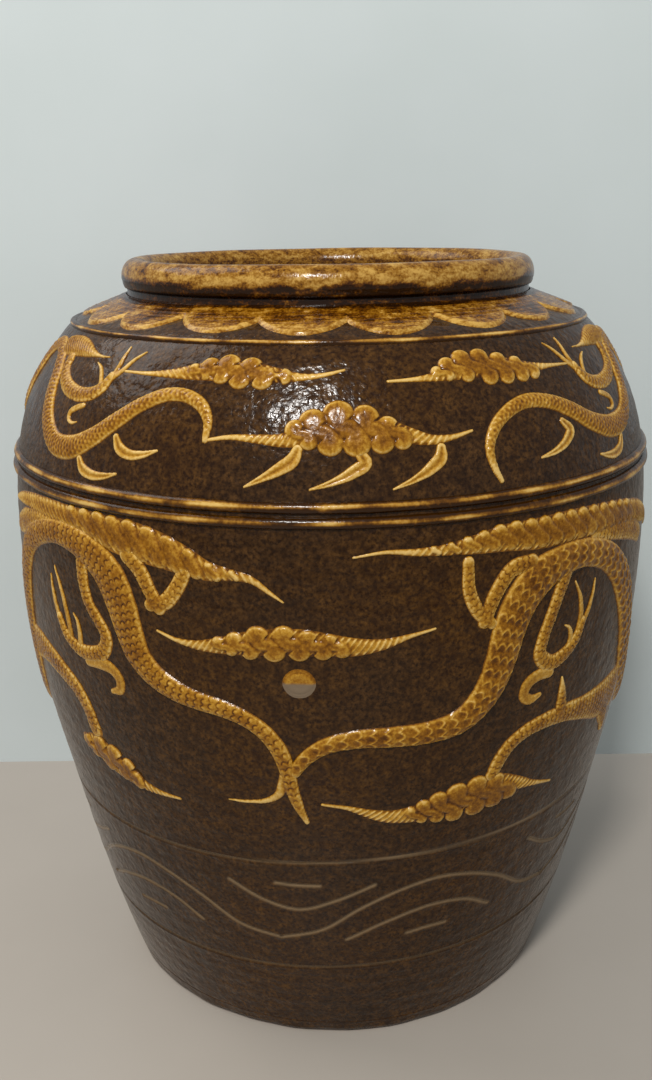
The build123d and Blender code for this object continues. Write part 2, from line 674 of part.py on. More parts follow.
back_cloud_path = (
    (-16, 0.2, 0.05), (-12, 0.19, 0.12), (-8, 0.185, 0.35), (-4, 0.19, 0.8), (0, 0.195, 1),
    (4, 0.19, 0.8), (8, 0.185, 0.35), (12, 0.19, 0.12), (16, 0.2, 0.05),
)
back_puffs = ((-4.4, 0.2), (-1.5, 0.21), (1.5, 0.21), (4.4, 0.2))

hind_rooms = []
crossed_rooms = []
for side, name, body_path, crest_path, knee_paths, leg_path, claw_paths, spur_path, hind_paths in (
    (
        left, "lower_left", lower_left_path, lower_left_crest_path, lower_left_knee_paths,
        lower_left_leg_path, lower_left_claw_paths, lower_left_spur_path, lower_left_hind_paths,
    ),
    (
        right, "lower_right", lower_right_path, lower_right_crest_path, lower_right_knee_paths,
        lower_right_leg_path, lower_right_claw_paths, lower_right_spur_path, lower_right_hind_paths,
    ),
):
    body_room = band_room(body_path, side, 0, lower_height, lower_body_width, lower_body_rise)
    crest_room = band_room(crest_path, side, 0, lower_height, lower_crest_width, crest_rise)
    leg_room = band_room(leg_path, side, 0, lower_height, lower_limb_width, limb_rise)
    hind_rooms.append(band_room(hind_paths[0], side, 0, lower_height, hind_leg_width, limb_rise))
    with BuildPart() as dragon_body:
        seated_bands(
            [body_path], side, 0, lower_height, lower_body_width, lower_body_rise, *crossed_rooms
        )
    finish(dragon_body, name + "_dragon_body")
    crossed_rooms.append(body_room)
    with BuildPart() as dragon_crest:
        seated_bands([crest_path], side, 0, lower_height, lower_crest_width, crest_rise, body_room)
    finish(dragon_crest, name + "_dragon_crest")
    with BuildPart() as dragon_knee:
        seated_bands(
            knee_paths, side, 0, lower_height, lower_limb_width, limb_rise, body_room, crest_room
        )
    finish(dragon_knee, name + "_dragon_knee")
    with BuildPart() as dragon_leg:
        seated_bands([leg_path], side, 0, lower_height, lower_limb_width, limb_rise, body_room)
    finish(dragon_leg, name + "_dragon_leg")
    with BuildPart() as dragon_claws:
        seated_bands(claw_paths, side, 0, lower_height, claw_width, claw_rise, leg_room)
    finish(dragon_claws, name + "_dragon_claws")
    with BuildPart() as dragon_spur:
        seated_bands([spur_path], side, 0, lower_height, lick_width, lick_rise, leg_room)
    finish(dragon_spur, name + "_dragon_spur")
    with BuildPart() as dragon_hind_leg:
        seated_bands(hind_paths, side, 0, lower_height, hind_leg_width, limb_rise, body_room)
    finish(dragon_hind_leg, name + "_dragon_hind_leg")
    with BuildPart() as dragon_head:
        add(
            head_parts(
                (lower_skull_path, lower_jaw_path, lower_horn_path), side, lower_height,
                lower_body_width, lower_body_rise, body_room,
            )
        )
    finish(dragon_head, name + "_dragon_head")


# A cloud is a band with thin ends and a row of puffs
def finish_cloud(name, path, puffs, side, turn, height_of, width, *rooms):
    with BuildPart() as cloud:
        lay_puffs(puffs, side, turn, height_of)
        seated_bands([path], side, turn, height_of, width, cloud_rise, *rooms)
    finish(cloud, name)


for name, path, puffs, side, turn, width in (
    ("cloud_upper_left", upper_left_cloud_path, upper_left_puffs, left, 0, cloud_width),
    ("cloud_upper_right", upper_right_cloud_path, upper_right_puffs, right, 0, cloud_width),
    ("cloud_upper_centre", upper_centre_cloud_path, upper_centre_puffs, right, 0, large_cloud_width),
    ("cloud_upper_back", back_cloud_path, back_puffs, right, 180, cloud_width),
):
    finish_cloud(name, path, puffs, side, turn, upper_height, width)

for name, path, puffs, side, turn, width, rooms in (
    ("cloud_lower_centre", lower_centre_cloud_path, lower_centre_puffs, right, 0, large_cloud_width, []),
    ("cloud_lower_left", lower_left_cloud_path, lower_left_puffs, left, 0, cloud_width, hind_rooms[:1]),
    ("cloud_lower_right", lower_right_cloud_path, lower_right_puffs, right, 0, cloud_width, hind_rooms[1:]),
    ("cloud_lower_back", back_cloud_path, back_puffs, right, 180, large_cloud_width, []),
):
    finish_cloud(name, path, puffs, side, turn, lower_height, width, *rooms)

cloud_room = band_room(upper_centre_cloud_path, right, 0, upper_height, large_cloud_width, cloud_rise)
cloud_room += puff_room(upper_centre_puffs, right, 0, upper_height)
with BuildPart() as centre_licks:
    seated_bands(centre_lick_paths, right, 0, upper_height, lick_width, lick_rise, cloud_room)
finish(centre_licks, "centre_licks")

# The potter's dab, left plain
dab_angle = -5
dab_height_share = 0.58
with BuildPart() as seal_dab:
    spot, facing = wall_spot(dab_angle, lower_height(dab_height_share))
    level = Vector(0, 0, 1).cross(facing)
    with BuildSketch(Plane(origin=spot - facing * dab_rise, x_dir=level, z_dir=facing)):
        Ellipse(dab_width / 2, dab_height / 2)
    extrude(amount=2 * dab_rise)
    fillet(seal_dab.faces().sort_by(Axis.Y)[0].edges(), dab_rise / 3)
    seat_on_wall()
finish(seal_dab, "seal_dab")

# A pearl between each pair of heads
pearl_angle = 180
pearl_height_share = 0.55
for name, height_of in (("upper_pearl", upper_height), ("lower_pearl", lower_height)):
    with BuildPart() as pearl:
        spot, facing = wall_spot(pearl_angle, height_of(pearl_height_share))
        with Locations(spot - facing * pearl_sink):
            Sphere(pearl_radius)
        seat_on_wall()
    finish(pearl, name)
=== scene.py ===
import math

import bpy
import numpy as np
from mathutils import Matrix, Vector


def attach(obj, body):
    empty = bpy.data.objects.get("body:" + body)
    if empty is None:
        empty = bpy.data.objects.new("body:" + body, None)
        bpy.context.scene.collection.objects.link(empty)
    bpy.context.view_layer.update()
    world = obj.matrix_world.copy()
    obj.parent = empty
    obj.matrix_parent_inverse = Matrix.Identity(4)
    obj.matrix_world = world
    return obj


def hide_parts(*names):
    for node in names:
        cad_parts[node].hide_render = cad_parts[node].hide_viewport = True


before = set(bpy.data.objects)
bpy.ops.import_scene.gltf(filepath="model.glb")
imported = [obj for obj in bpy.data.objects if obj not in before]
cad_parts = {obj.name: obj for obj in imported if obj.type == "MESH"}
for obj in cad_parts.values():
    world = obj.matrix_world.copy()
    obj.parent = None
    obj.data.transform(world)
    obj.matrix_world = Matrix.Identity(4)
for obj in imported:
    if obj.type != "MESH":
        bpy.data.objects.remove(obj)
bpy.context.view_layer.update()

# Sizes are millimetres, as in the CAD, and become metres when a mesh is made.
MM = 0.001
WALL, BASE_TOP = 13.0, 16.0
BASE_R, BELLY_R, LINE_R, NECK_R, MOUTH_R, RIM_R = 216.0, 297.5, 236.0, 186.0, 165.0, 190.0
WAVE_LOW, WAVE_HIGH, BELLY_Z, BELT_Z = 92.0, 214.0, 450.0, 516.5
LINE_Z, NECK_Z, NECK_TOP, TOP_Z = 633.0, 655.0, 662.0, 687.0
RIDGE_R, RIDGE_GAP = 4.6, 11.0
BELLY_SEAM = (WAVE_HIGH + BELT_Z) / 2
SHOULDER_SEAM = BELT_Z + 0.53 * (LINE_Z - BELT_Z)
# Shares of height and radius, from the base to the belly and from the belly to the shoulder line
FLARE = ((0.127, 0.21), (0.284, 0.43), (0.476, 0.66), (0.667, 0.87), (0.857, 0.98))
SHOULDER = ((0.43, 0.90), (0.70, 0.64), (0.885, 0.30))
# How far slip reaches into the wall, the grids that it is made on, and how strongly its relief shades it
SINK, CELL, CLOUD_CELL, FINE_CELL, PAT_CELL = 1.1, 0.85, 0.75, 0.7, 0.6
LICK_CONTRAST, CLAW_CONTRAST, PAT_CONTRAST = 0.8, 0.65, 0.6
# A stroke's half width and its height over the wall, as shares of its solid's width and rise
HALF_WIDTH, LIFT = 0.484, 0.66
# A wall ring: its columns, the step of its outer and inner rows, and the extra row beside each seam
RING_COLUMNS, OUTER_STEP, INNER_STEP, SEAM_ROW = 600, 2.6, 14, 0.08
# Painted shade: the honey glaze inside is painted darker downwards between these heights
PALE_INSIDE, DARK_INSIDE = 640, 480
# The bands of the drawing, from height to height
UPPER = (BELT_Z + RIDGE_GAP / 2, LINE_Z)
LOWER = (WAVE_HIGH, BELT_Z - RIDGE_GAP / 2)
WAVES = (WAVE_LOW, WAVE_HIGH)
LEFT, RIGHT = -1, 1
HEAD_ANGLE = 150


# The pot's outer line, as the CAD draws it
def outer_places():
    places = [(BASE_R, 0.0)]
    places += [(BASE_R + s * (BELLY_R - BASE_R), h * BELLY_Z) for h, s in FLARE]
    places.append((BELLY_R, BELLY_Z))
    places += [(LINE_R + s * (BELLY_R - LINE_R), BELLY_Z + h * (LINE_Z - BELLY_Z)) for h, s in SHOULDER]
    places.append((LINE_R, LINE_Z))
    places.append((NECK_R + 0.49 * (LINE_R - NECK_R), LINE_Z + 0.55 * (NECK_Z - LINE_Z)))
    places.append((NECK_R, NECK_Z))
    return np.array(places)


def runs(steps):
    return np.concatenate([[0], np.cumsum(steps)])


# Points evenly along the cubics that pass the rows of p with these slopes
def cubic(p, slope, steps, count):
    t = runs(steps)
    u = np.linspace(0, t[-1], count)
    k = np.clip(np.searchsorted(t, u) - 1, 0, len(p) - 2)
    h = steps[k][:, None]
    x = ((u - t[k]) / steps[k])[:, None]
    return (
        p[k] * (2 * x**3 - 3 * x**2 + 1) + slope[k] * h * (x**3 - 2 * x**2 + x)
        + p[k + 1] * (-2 * x**3 + 3 * x**2) + slope[k + 1] * h * (x**3 - x**2)
    )


# The slope at the first of four places, of the cubic through them
def end_slope(t, p):
    total = p[0] * sum(1 / (t[0] - t[j]) for j in (1, 2, 3))
    for i in (1, 2, 3):
        weight = 1 / (t[i] - t[0])
        for j in (1, 2, 3):
            if j != i:
                weight *= (t[0] - t[j]) / (t[i] - t[j])
        total = total + p[i] * weight
    return total


def spline_through(p, count):
    steps = np.linalg.norm(np.diff(p, axis=0), axis=1)
    t = runs(steps)
    n = len(p)
    a, b = np.zeros((n, n)), np.zeros((n, 2))
    a[0, 0] = a[-1, -1] = 1
    b[0] = end_slope(t[:4], p[:4])
    b[-1] = end_slope(t[::-1][:4], p[::-1][:4])
    for i in range(1, n - 1):
        h0, h1 = steps[i - 1], steps[i]
        a[i, i - 1], a[i, i], a[i, i + 1] = h1, 2 * (h0 + h1), h0
        b[i] = 3 * (h1 * (p[i] - p[i - 1]) / h0 + h0 * (p[i + 1] - p[i]) / h1)
    return cubic(p, np.linalg.solve(a, b), steps, count)


# Along the pot's line: its radius and height, its run from the base, and its outward direction
LINE = spline_through(outer_places(), 3000)
LINE_STEP = np.gradient(LINE, axis=0)
LINE_STEP /= np.linalg.norm(LINE_STEP, axis=1)[:, None]
LINE_RADIUS, LINE_HEIGHT = LINE[:, 0], LINE[:, 1]
LINE_RUN = runs(np.linalg.norm(np.diff(LINE, axis=0), axis=1))
OUT_R, OUT_Z = LINE_STEP[:, 1], -LINE_STEP[:, 0]


def run_of(z):
    return np.interp(z, LINE_HEIGHT, LINE_RUN)


def radius_of(m):
    return np.interp(m, LINE_RUN, LINE_RADIUS)


def height_in(band, share):
    return band[0] + share * (band[1] - band[0])


def run_in(band, share):
    return run_of(height_in(band, share))


def fade(x, low, high):
    t = np.clip((x - low) / (high - low), 0, 1)
    return t * t * (3 - 2 * t)


def bell(x, middle, width):
    return np.exp(-(((x - middle) / width) ** 2))


def hash_of(a, b):
    return np.modf(np.abs(np.sin(a * 12.9898 + b * 78.233) * 43758.5453))[0]


# The slight unevenness of a hand-built wall, and the rings that the potter's hands leave
def uneven(theta, m):
    slow = 0.35 * np.sin(2 * theta + 0.8) * np.sin(m / 95.0 + 0.6) + 0.22 * np.sin(3 * theta - m / 60.0)
    rings = 0.10 * np.sin(m / 2.3 + 1.4 * np.sin(theta + m / 70.0)) * (0.6 + 0.4 * np.sin(m / 31.0 + theta))
    return slow + rings


# Points at an angle from the front, a distance from the axis and a height
def around(theta, r, z):
    return np.stack([r * np.sin(theta), -r * np.cos(theta), np.broadcast_to(z, theta.shape)], -1)


# The point that lies h outside the wall, at an angle from the front and a run up the wall
def on_wall(theta, m, h):
    out = h + uneven(theta, m)
    r = radius_of(m) + np.interp(m, LINE_RUN, OUT_R) * out
    return around(theta, r, np.interp(m, LINE_RUN, LINE_HEIGHT) + np.interp(m, LINE_RUN, OUT_Z) * out)


# Materials
def srgb(r, g, b):
    out = []
    for c in (r, g, b):
        c = c / 255
        out.append(c / 12.92 if c <= 0.04045 else ((c + 0.055) / 1.055) ** 2.4)
    return (*out, 1.0)


class Shader:
    def __init__(self, name, roughness=0.2, specular=0.5):
        self.mat = bpy.data.materials.new(name)
        self.mat.use_nodes = True
        self.tree = self.mat.node_tree
        self.bsdf = next(n for n in self.tree.nodes if n.type == "BSDF_PRINCIPLED")
        self.bsdf.inputs["Roughness"].default_value = roughness
        self.bsdf.inputs["Specular IOR Level"].default_value = specular
        self.coords = self.node("TexCoord").outputs["Object"]

    def node(self, kind):
        return self.tree.nodes.new("ShaderNode" + kind)

    # Sets a socket to a value, or links it to an output
    def feed(self, socket, value):
        if hasattr(value, "is_linked"):
            self.tree.links.new(value, socket)
        else:
            socket.default_value = value

    def noise(self, scale, detail=3.0, rough=0.55, distortion=0.0, stretch=None):
        n = self.node("TexNoise")
        source = self.coords
        if stretch:
            shape = self.node("Mapping")
            shape.inputs["Scale"].default_value = stretch
            self.feed(shape.inputs["Vector"], source)
            source = shape.outputs["Vector"]
        for key, x in (
            ("Scale", scale), ("Detail", detail), ("Roughness", rough), ("Distortion", distortion),
            ("Vector", source),
        ):
            self.feed(n.inputs[key], x)
        return n.outputs["Fac"]

    def attribute(self, name):
        n = self.node("Attribute")
        n.attribute_name = name
        return n.outputs["Fac"]

    def ramp(self, value, stops):
        n = self.node("ValToRGB")
        while len(n.color_ramp.elements) < len(stops):
            n.color_ramp.elements.new(0.5)
        for e, (place, colour) in zip(n.color_ramp.elements, stops):
            e.position = place
            e.color = srgb(*colour)
        self.feed(n.inputs["Fac"], value)
        return n.outputs["Color"]

    def span(self, value, low, high, to_low=0.0, to_high=1.0):
        n = self.node("MapRange")
        for key, x in (
            ("From Min", low), ("From Max", high), ("To Min", to_low), ("To Max", to_high), ("Value", value),
        ):
            self.feed(n.inputs[key], x)
        return n.outputs["Result"]

    def mix(self, factor, a, b):
        n = self.node("Mix")
        n.data_type = "RGBA"
        for key, x in (("Factor_Float", factor), ("A_Color", a), ("B_Color", b)):
            self.feed(next(s for s in n.inputs if s.identifier == key), x)
        return next(s for s in n.outputs if s.identifier == "Result_Color")

    def math(self, op, a, b):
        n = self.node("Math")
        n.operation = op
        self.feed(n.inputs[0], a)
        self.feed(n.inputs[1], b)
        return n.outputs["Value"]

    def bump(self, value, distance, strength, under=None):
        n = self.node("Bump")
        n.inputs["Distance"].default_value = distance
        n.inputs["Strength"].default_value = strength
        self.feed(n.inputs["Height"], value)
        if under is not None:
            self.feed(n.inputs["Normal"], under)
        return n.outputs["Normal"]

    def finish(self, colour, rough=None, normal=None):
        for key, x in (("Base Color", colour), ("Roughness", rough), ("Normal", normal)):
            if x is not None:
                self.feed(self.bsdf.inputs[key], x)
        return self.mat


def brown_glaze(name):
    s = Shader(name, specular=0.24)
    fine = s.span(s.noise(320, 4, 0.62), 0.36, 0.64)
    blotch = s.span(s.noise(105, 3, 0.6, 0.5), 0.36, 0.64)
    large = s.span(s.noise(8, 2), 0.35, 0.65)
    dark = s.mix(large, srgb(38, 16, 0), srgb(32, 15, 2))
    light = s.mix(large, srgb(90, 58, 16), srgb(82, 54, 24))
    spots = s.math("MULTIPLY", fine, s.math("ADD", s.math("MULTIPLY", blotch, 0.7), 0.3))
    thin_glaze_and_reflection = srgb(142, 118, 88)
    body = s.mix(s.attribute("thin"), s.mix(spots, dark, light), thin_glaze_and_reflection)
    rough = s.span(s.noise(180, 3), 0.3, 0.7, 0.13, 0.26)
    skin = s.bump(s.noise(210, 2, 0.5), 0.0013, 0.5)
    skin = s.bump(s.noise(62, 2, 0.5), 0.0035, 0.4, skin)
    return s.finish(body, rough, skin)


# A glaze over slip: each noise moves the mesh's tone by an amount, and the first one roughens the glaze too.
# Below a given height, in metres, the colour turns a flat pale grey: a painted reflection.
def slip_glaze(name, noises, stops, roughness, skin, thin_glaze_and_reflection=None):
    s = Shader(name, specular=0.27)
    tone, fields = s.attribute("tone"), []
    for amount, *noise in noises:
        fields.append(s.noise(*noise))
        tone = s.math("ADD", tone, s.math("MULTIPLY", s.math("SUBTRACT", fields[-1], 0.5), amount))
    colour = s.ramp(tone, stops)
    if thin_glaze_and_reflection:
        height = s.node("SeparateXYZ")
        s.feed(height.inputs["Vector"], s.coords)
        # Painted reflection: a flat pale grey below the height
        painted_reflection_grey = srgb(122, 104, 84)
        colour = s.mix(s.span(height.outputs["Z"], thin_glaze_and_reflection + MM, thin_glaze_and_reflection - MM), colour, painted_reflection_grey)
    grain, distance, strength = skin
    return s.finish(
        colour, s.span(fields[0], 0.3, 0.7, *roughness), s.bump(s.noise(grain, 2, 0.5), distance, strength),
    )


def clay(name):
    s = Shader(name, 0.85)
    stops = (0.3, (92, 66, 50)), (0.55, (128, 96, 74)), (0.75, (150, 118, 94))
    colour = s.ramp(s.noise(160, 5, 0.65), stops)
    return s.finish(colour, None, s.bump(s.noise(420, 4, 0.6), 0.0008, 0.6))


# The glaze of the rim, neck and collar
def honey_glaze(name, dark, middle, pale):
    noises = (
        (0.9, 520, 2, 0.6), (1.4, 260, 4, 0.62, 0.2, (0.5, 0.5, 1.0)),
        (1.0, 70, 2, 0.5, 0.4, (0.6, 0.6, 1.6)),
    )
    stops = (0.0, (36, 17, 3)), (0.28, dark), (0.55, middle), (0.95, pale)
    return slip_glaze(name, noises, stops, (0.13, 0.24), (260, 0.0008, 0.45))


AMBER = (
    ((0.7, 420, 3, 0.6), (0.5, 60, 2, 0.5)),
    (
        (0.0, (56, 28, 0)), (0.25, (98, 56, 2)), (0.48, (144, 93, 12)), (0.72, (186, 137, 44)),
        (1.0, (222, 184, 108)),
    ),
    (0.14, 0.28), (330, 0.0006, 0.4),
)
BROWN = brown_glaze("brown_glaze")
SLIP = slip_glaze("amber_slip", *AMBER)
GOLD = honey_glaze("honey_glaze", (82, 44, 2), (140, 94, 22), (192, 150, 74))
COLLAR = honey_glaze("collar_glaze", (92, 50, 0), (146, 97, 18), (204, 160, 78))
CLAY = clay("bare_clay")
LINE_SLIP = slip_glaze(
    "line_glaze", ((0.7, 300, 4, 0.65), (1.3, 26, 3, 0.6, 0.3)),
    ((0.1, (50, 26, 2)), (0.35, (104, 64, 10)), (0.6, (166, 118, 38)), (0.95, (212, 174, 98))),
    (0.13, 0.25), (260, 0.0008, 0.4),
)


# Meshes
def make(node, verts, faces, materials, tone, thin=None, kinds=None, name=None):
    name = name or node + "_piece"
    mesh = bpy.data.meshes.new(name)
    count = len(faces)
    mesh.vertices.add(len(verts))
    mesh.vertices.foreach_set("co", (verts * MM).astype(np.float32).ravel())
    mesh.loops.add(4 * count)
    mesh.loops.foreach_set("vertex_index", faces.astype(np.int32).ravel())
    mesh.polygons.add(count)
    mesh.polygons.foreach_set("loop_start", np.arange(0, 4 * count, 4, dtype=np.int32))
    mesh.update(calc_edges=True)
    for material in materials:
        mesh.materials.append(material)
    if kinds is not None:
        mesh.polygons.foreach_set("material_index", kinds.astype(np.int32))
    for key, values in (("thin", thin), ("tone", tone)):
        if values is not None:
            mesh.attributes.new(key, "FLOAT", "POINT").data.foreach_set("value", values.astype(np.float32))
    mesh.shade_smooth()
    obj = bpy.data.objects.new(name, mesh)
    bpy.context.scene.collection.objects.link(obj)
    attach(obj, "root")
    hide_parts(node)


# Quads of a tube of rows, each row a full ring of points
def ring_faces(rows, columns, closed=True):
    i = np.arange(rows if closed else rows - 1)[:, None]
    j = np.arange(columns)[None, :]
    up, right = (i + 1) % rows * columns, (j + 1) % columns
    return np.stack([i * columns + j, i * columns + right, up + right, up + j], -1).reshape(-1, 4)


def ring_angles(columns):
    return np.linspace(-math.pi, math.pi, columns, endpoint=False)


# Every angle of a ring at each run up the wall
def ring_grid(columns, run):
    return (a.ravel() for a in np.meshgrid(ring_angles(columns), run))


# A closed wall between two heights: outer rows going up, inner rows going down
def wall_piece(node, low, high, relief=None, columns=RING_COLUMNS, step=OUTER_STEP):
    low, high = run_of(low), run_of(high)
    outer = np.linspace(low + SEAM_ROW, high - SEAM_ROW, int((high - low) / step) + 2)
    outer = np.concatenate([[low], outer, [high]])
    inner = np.linspace(high, low, int((high - low) / INNER_STEP) + 2)
    t_out, m_out = ring_grid(columns, outer)
    t_in, m_in = ring_grid(columns, inner)
    h, thin = relief(t_out, m_out) if relief else (0 * m_out, 0 * m_out)
    verts = [on_wall(t_out, m_out, h), on_wall(t_in, m_in, -WALL - 0.8 * uneven(t_in * 2, m_in * 0.7))]
    rows = len(outer) + len(inner)
    inside = (np.arange(rows) >= len(outer) - 1).repeat(columns)
    # Painted shade inside the jar, darker downwards
    tone = 0.18 + 0.42 * fade(np.interp(m_in, LINE_RUN, LINE_HEIGHT), DARK_INSIDE, PALE_INSIDE)
    make(
        node, np.concatenate(verts), ring_faces(rows, columns), [BROWN, GOLD],
        np.concatenate([0 * m_out, tone]), np.concatenate([thin, 0 * m_in]), inside,
    )


# A line of slip on the wall, from places with an angle, a run, half a width and a height over the wall
class Stroke:
    def __init__(self, theta, m, half, lift, power, kind="plain", **detail):
        q = np.stack([theta, m, half, lift], -1)
        scale = np.array([radius_of(m.mean()), 1.0])
        steps = np.maximum(np.linalg.norm(np.diff(q[:, :2] * scale, axis=0), axis=1), 1e-6)
        rate = np.diff(q, axis=0) / steps[:, None]
        slope = np.zeros_like(q)
        slope[0], slope[-1] = rate[0], rate[-1]
        for i in range(1, len(q) - 1):
            a, b = steps[i - 1], steps[i]
            slope[i] = (rate[i - 1] * b + rate[i] * a) / (a + b)
        out = cubic(q, slope, steps, max(int(runs(steps)[-1] / 2.2), 6))
        self.theta, self.m = out[:, 0], out[:, 1]
        self.half, self.lift = np.maximum(out[:, 2], 0.45), np.maximum(out[:, 3], 0.35)
        r = radius_of(self.m)
        self.s = runs(np.hypot(np.diff(self.theta) * (r[1:] + r[:-1]) / 2, np.diff(self.m)))
        self.power, self.kind, self.detail = power, kind, detail

    # The place at a run along the line and a distance to its left
    def beside(self, s, d):
        theta, m = np.interp(s, self.s, self.theta), np.interp(s, self.s, self.m)
        r = radius_of(m)
        ahead, behind = np.interp(s + 1, self.s, self.theta), np.interp(s - 1, self.s, self.theta)
        up, down = np.interp(s + 1, self.s, self.m), np.interp(s - 1, self.s, self.m)
        tx, ty = (ahead - behind) * r, up - down
        size = math.hypot(tx, ty)
        return theta - ty / size * d / r, m + tx / size * d

    # For points near the line: how far off they are squared, the segment, the share along it, and the side
    def nearest(self, theta, m):
        r = radius_of(m)
        best, index = np.full(len(m), 1e9), np.zeros(len(m), int)
        share, side = np.zeros(len(m)), np.ones(len(m))
        for i in range(len(self.s) - 1):
            a_t, a_m, b_t, b_m = self.theta[i], self.m[i], self.theta[i + 1], self.m[i + 1]
            reach = max(self.half[i], self.half[i + 1]) * 1.3 + 3 + abs(b_m - a_m) + abs(b_t - a_t) * 300
            near = np.nonzero((np.abs(m - a_m) < reach) & (np.abs(theta - a_t) * r < reach))[0]
            ex, ey = (b_t - a_t) * r[near], b_m - a_m
            px, py = (theta[near] - a_t) * r[near], m[near] - a_m
            u = np.clip((px * ex + py * ey) / np.maximum(ex * ex + ey * ey, 1e-9), 0, 1)
            gap = (px - u * ex) ** 2 + (py - u * ey) ** 2
            won = gap < best[near]
            at = near[won]
            best[at], index[at], share[at] = gap[won], i, u[won]
            side[at] = np.where(ex * py < ey * px, -1, 1)[won]
        return best, index, share, side

    # Height above the wall of what this line carries, at each point
    def height(self, theta, m):
        best, index, share, side = self.nearest(theta, m)
        s, half, lift = (a[index] + share * np.diff(a)[index] for a in (self.s, self.half, self.lift))
        d = np.sqrt(best) * side
        t = d / half
        h = lift * (1 - np.abs(t) ** self.power)
        h = np.where(np.abs(t) > 1, np.maximum(h, -(np.abs(t) - 1) * half * 1.2), h)
        h += carve(self, s, d, t, half) * fade(-np.abs(t), -1.0, -0.8)
        return np.where(best < 1e8, h, -9)


# A stroke through places of the drawing, as its tables give them
def drawn(places, side, band, width, rise, turn=0, power=2.4, kind="plain", **detail):
    angle, share, wide = (np.array(places, float) / (1, 1000, 100)).T
    theta = np.radians(side * (angle + turn))
    half, lift = HALF_WIDTH * width * wide, LIFT * rise * np.minimum(1, 0.35 + wide)
    return Stroke(theta, run_in(band, share), half, lift, power, kind, **detail)


def combed(places, side, band, width, rise, slant, pitch, turn=0):
    return drawn(places, side, band, width, rise, turn, kind="comb", slant=-slant * side, pitch=pitch)


# Small curved dents in staggered rows
def scale_marks(s, d, along, across, depth):
    row = np.floor(s / along)
    shifted = d + np.where(row % 2 == 0, 0, across / 2)
    column = np.floor(shifted / across)
    wobble = hash_of(row, column)
    a = s - (row + 0.5) * along + (wobble - 0.5) * 0.16 * along
    b = shifted - (column + 0.5) * across + (hash_of(column, row) - 0.5) * 0.16 * across
    ring = np.hypot(a / along, b / across)
    mark = bell(ring, 0.36, 0.085) * fade(a / along, -0.12, 0.12)
    return -depth * (0.75 + 0.5 * wobble) * mark + 0.3 * depth * bell(ring, 0, 0.24)


# Rows of small raised arcs across a body, like scales pressed with a curved tool
def arc_rows(s, d, along, across):
    row = np.floor(s / along)
    shift = hash_of(row, row + 3.1) * across
    column = np.floor((d + shift) / across)
    wobble = hash_of(row, column) - 0.5
    a = s - row * along + 0.9 * wobble
    b = d + shift - (column + 0.5) * across
    out = 1 - (2 * b / across) ** 2
    front = a - along * (0.42 + 0.4 * np.maximum(out, 0) + 0.06 * wobble)
    behind = fade(-front, 0.5, 4.5) * fade(a, 0.2, 3.0)
    return 0.62 * bell(front, 0, 1.25) - 0.4 * behind * np.maximum(out, 0) + 0.12 * wobble


# What is pressed or combed into a band of slip
def carve(stroke, s, d, t, half):
    kind, more = stroke.kind, stroke.detail
    edge = 0.3 * bell(np.abs(t), 0.86, 0.09)
    if kind == "ribs":
        rib = np.cos(2 * math.pi * (s / 3.9 + 0.5 * np.abs(t) ** 1.5 + 0.3 * np.sin(s / 17)))
        cross = np.cos(2 * math.pi * (s / 6.1 - d / 4.9))
        other = np.cos(2 * math.pi * (s / 7.3 + d / 3.7))
        return (0.2 * rib + 0.13 * cross + 0.1 * other) * fade(half, 1.5, 4) + edge
    if kind == "rows":
        return arc_rows(s, d, 11.0, 7.6) * fade(half, 3, 7) + edge
    if kind == "scales":
        return scale_marks(s, d, more["size"], more["size"] * 0.94, 0.8) * fade(half, 2, 6) + edge
    if kind == "comb":
        phase = np.mod((s + more["slant"] * d) / more["pitch"], 1)
        return 0.8 * (bell(phase, 0.5, 0.16) - 0.35) * fade(half, 1.5, 4)
    if kind == "hollow":
        return -more["depth"] * bell(t, 0, 0.5) * fade(half, 0.8, 2.5) + edge
    if kind == "coil":
        return -more["depth"] * bell(t, 0, 0.52) * fade(half, 1.5, 4) + 0.55 * t * more["tilt"] + edge
    return edge


def blur(grid, cells):
    value, weight = grid, np.ones_like(grid)
    reach = int(2.2 * cells) + 1
    kernel = np.exp(-0.5 * (np.arange(-reach, reach + 1) / cells) ** 2)
    for axis in (0, 1):
        v, w = np.zeros_like(value), np.zeros_like(weight)
        for k, g in zip(range(-reach, reach + 1), kernel):
            v += g * np.roll(value, k, axis)
            w += g * np.roll(weight, k, axis)
        value, weight = v, w
    return value / weight


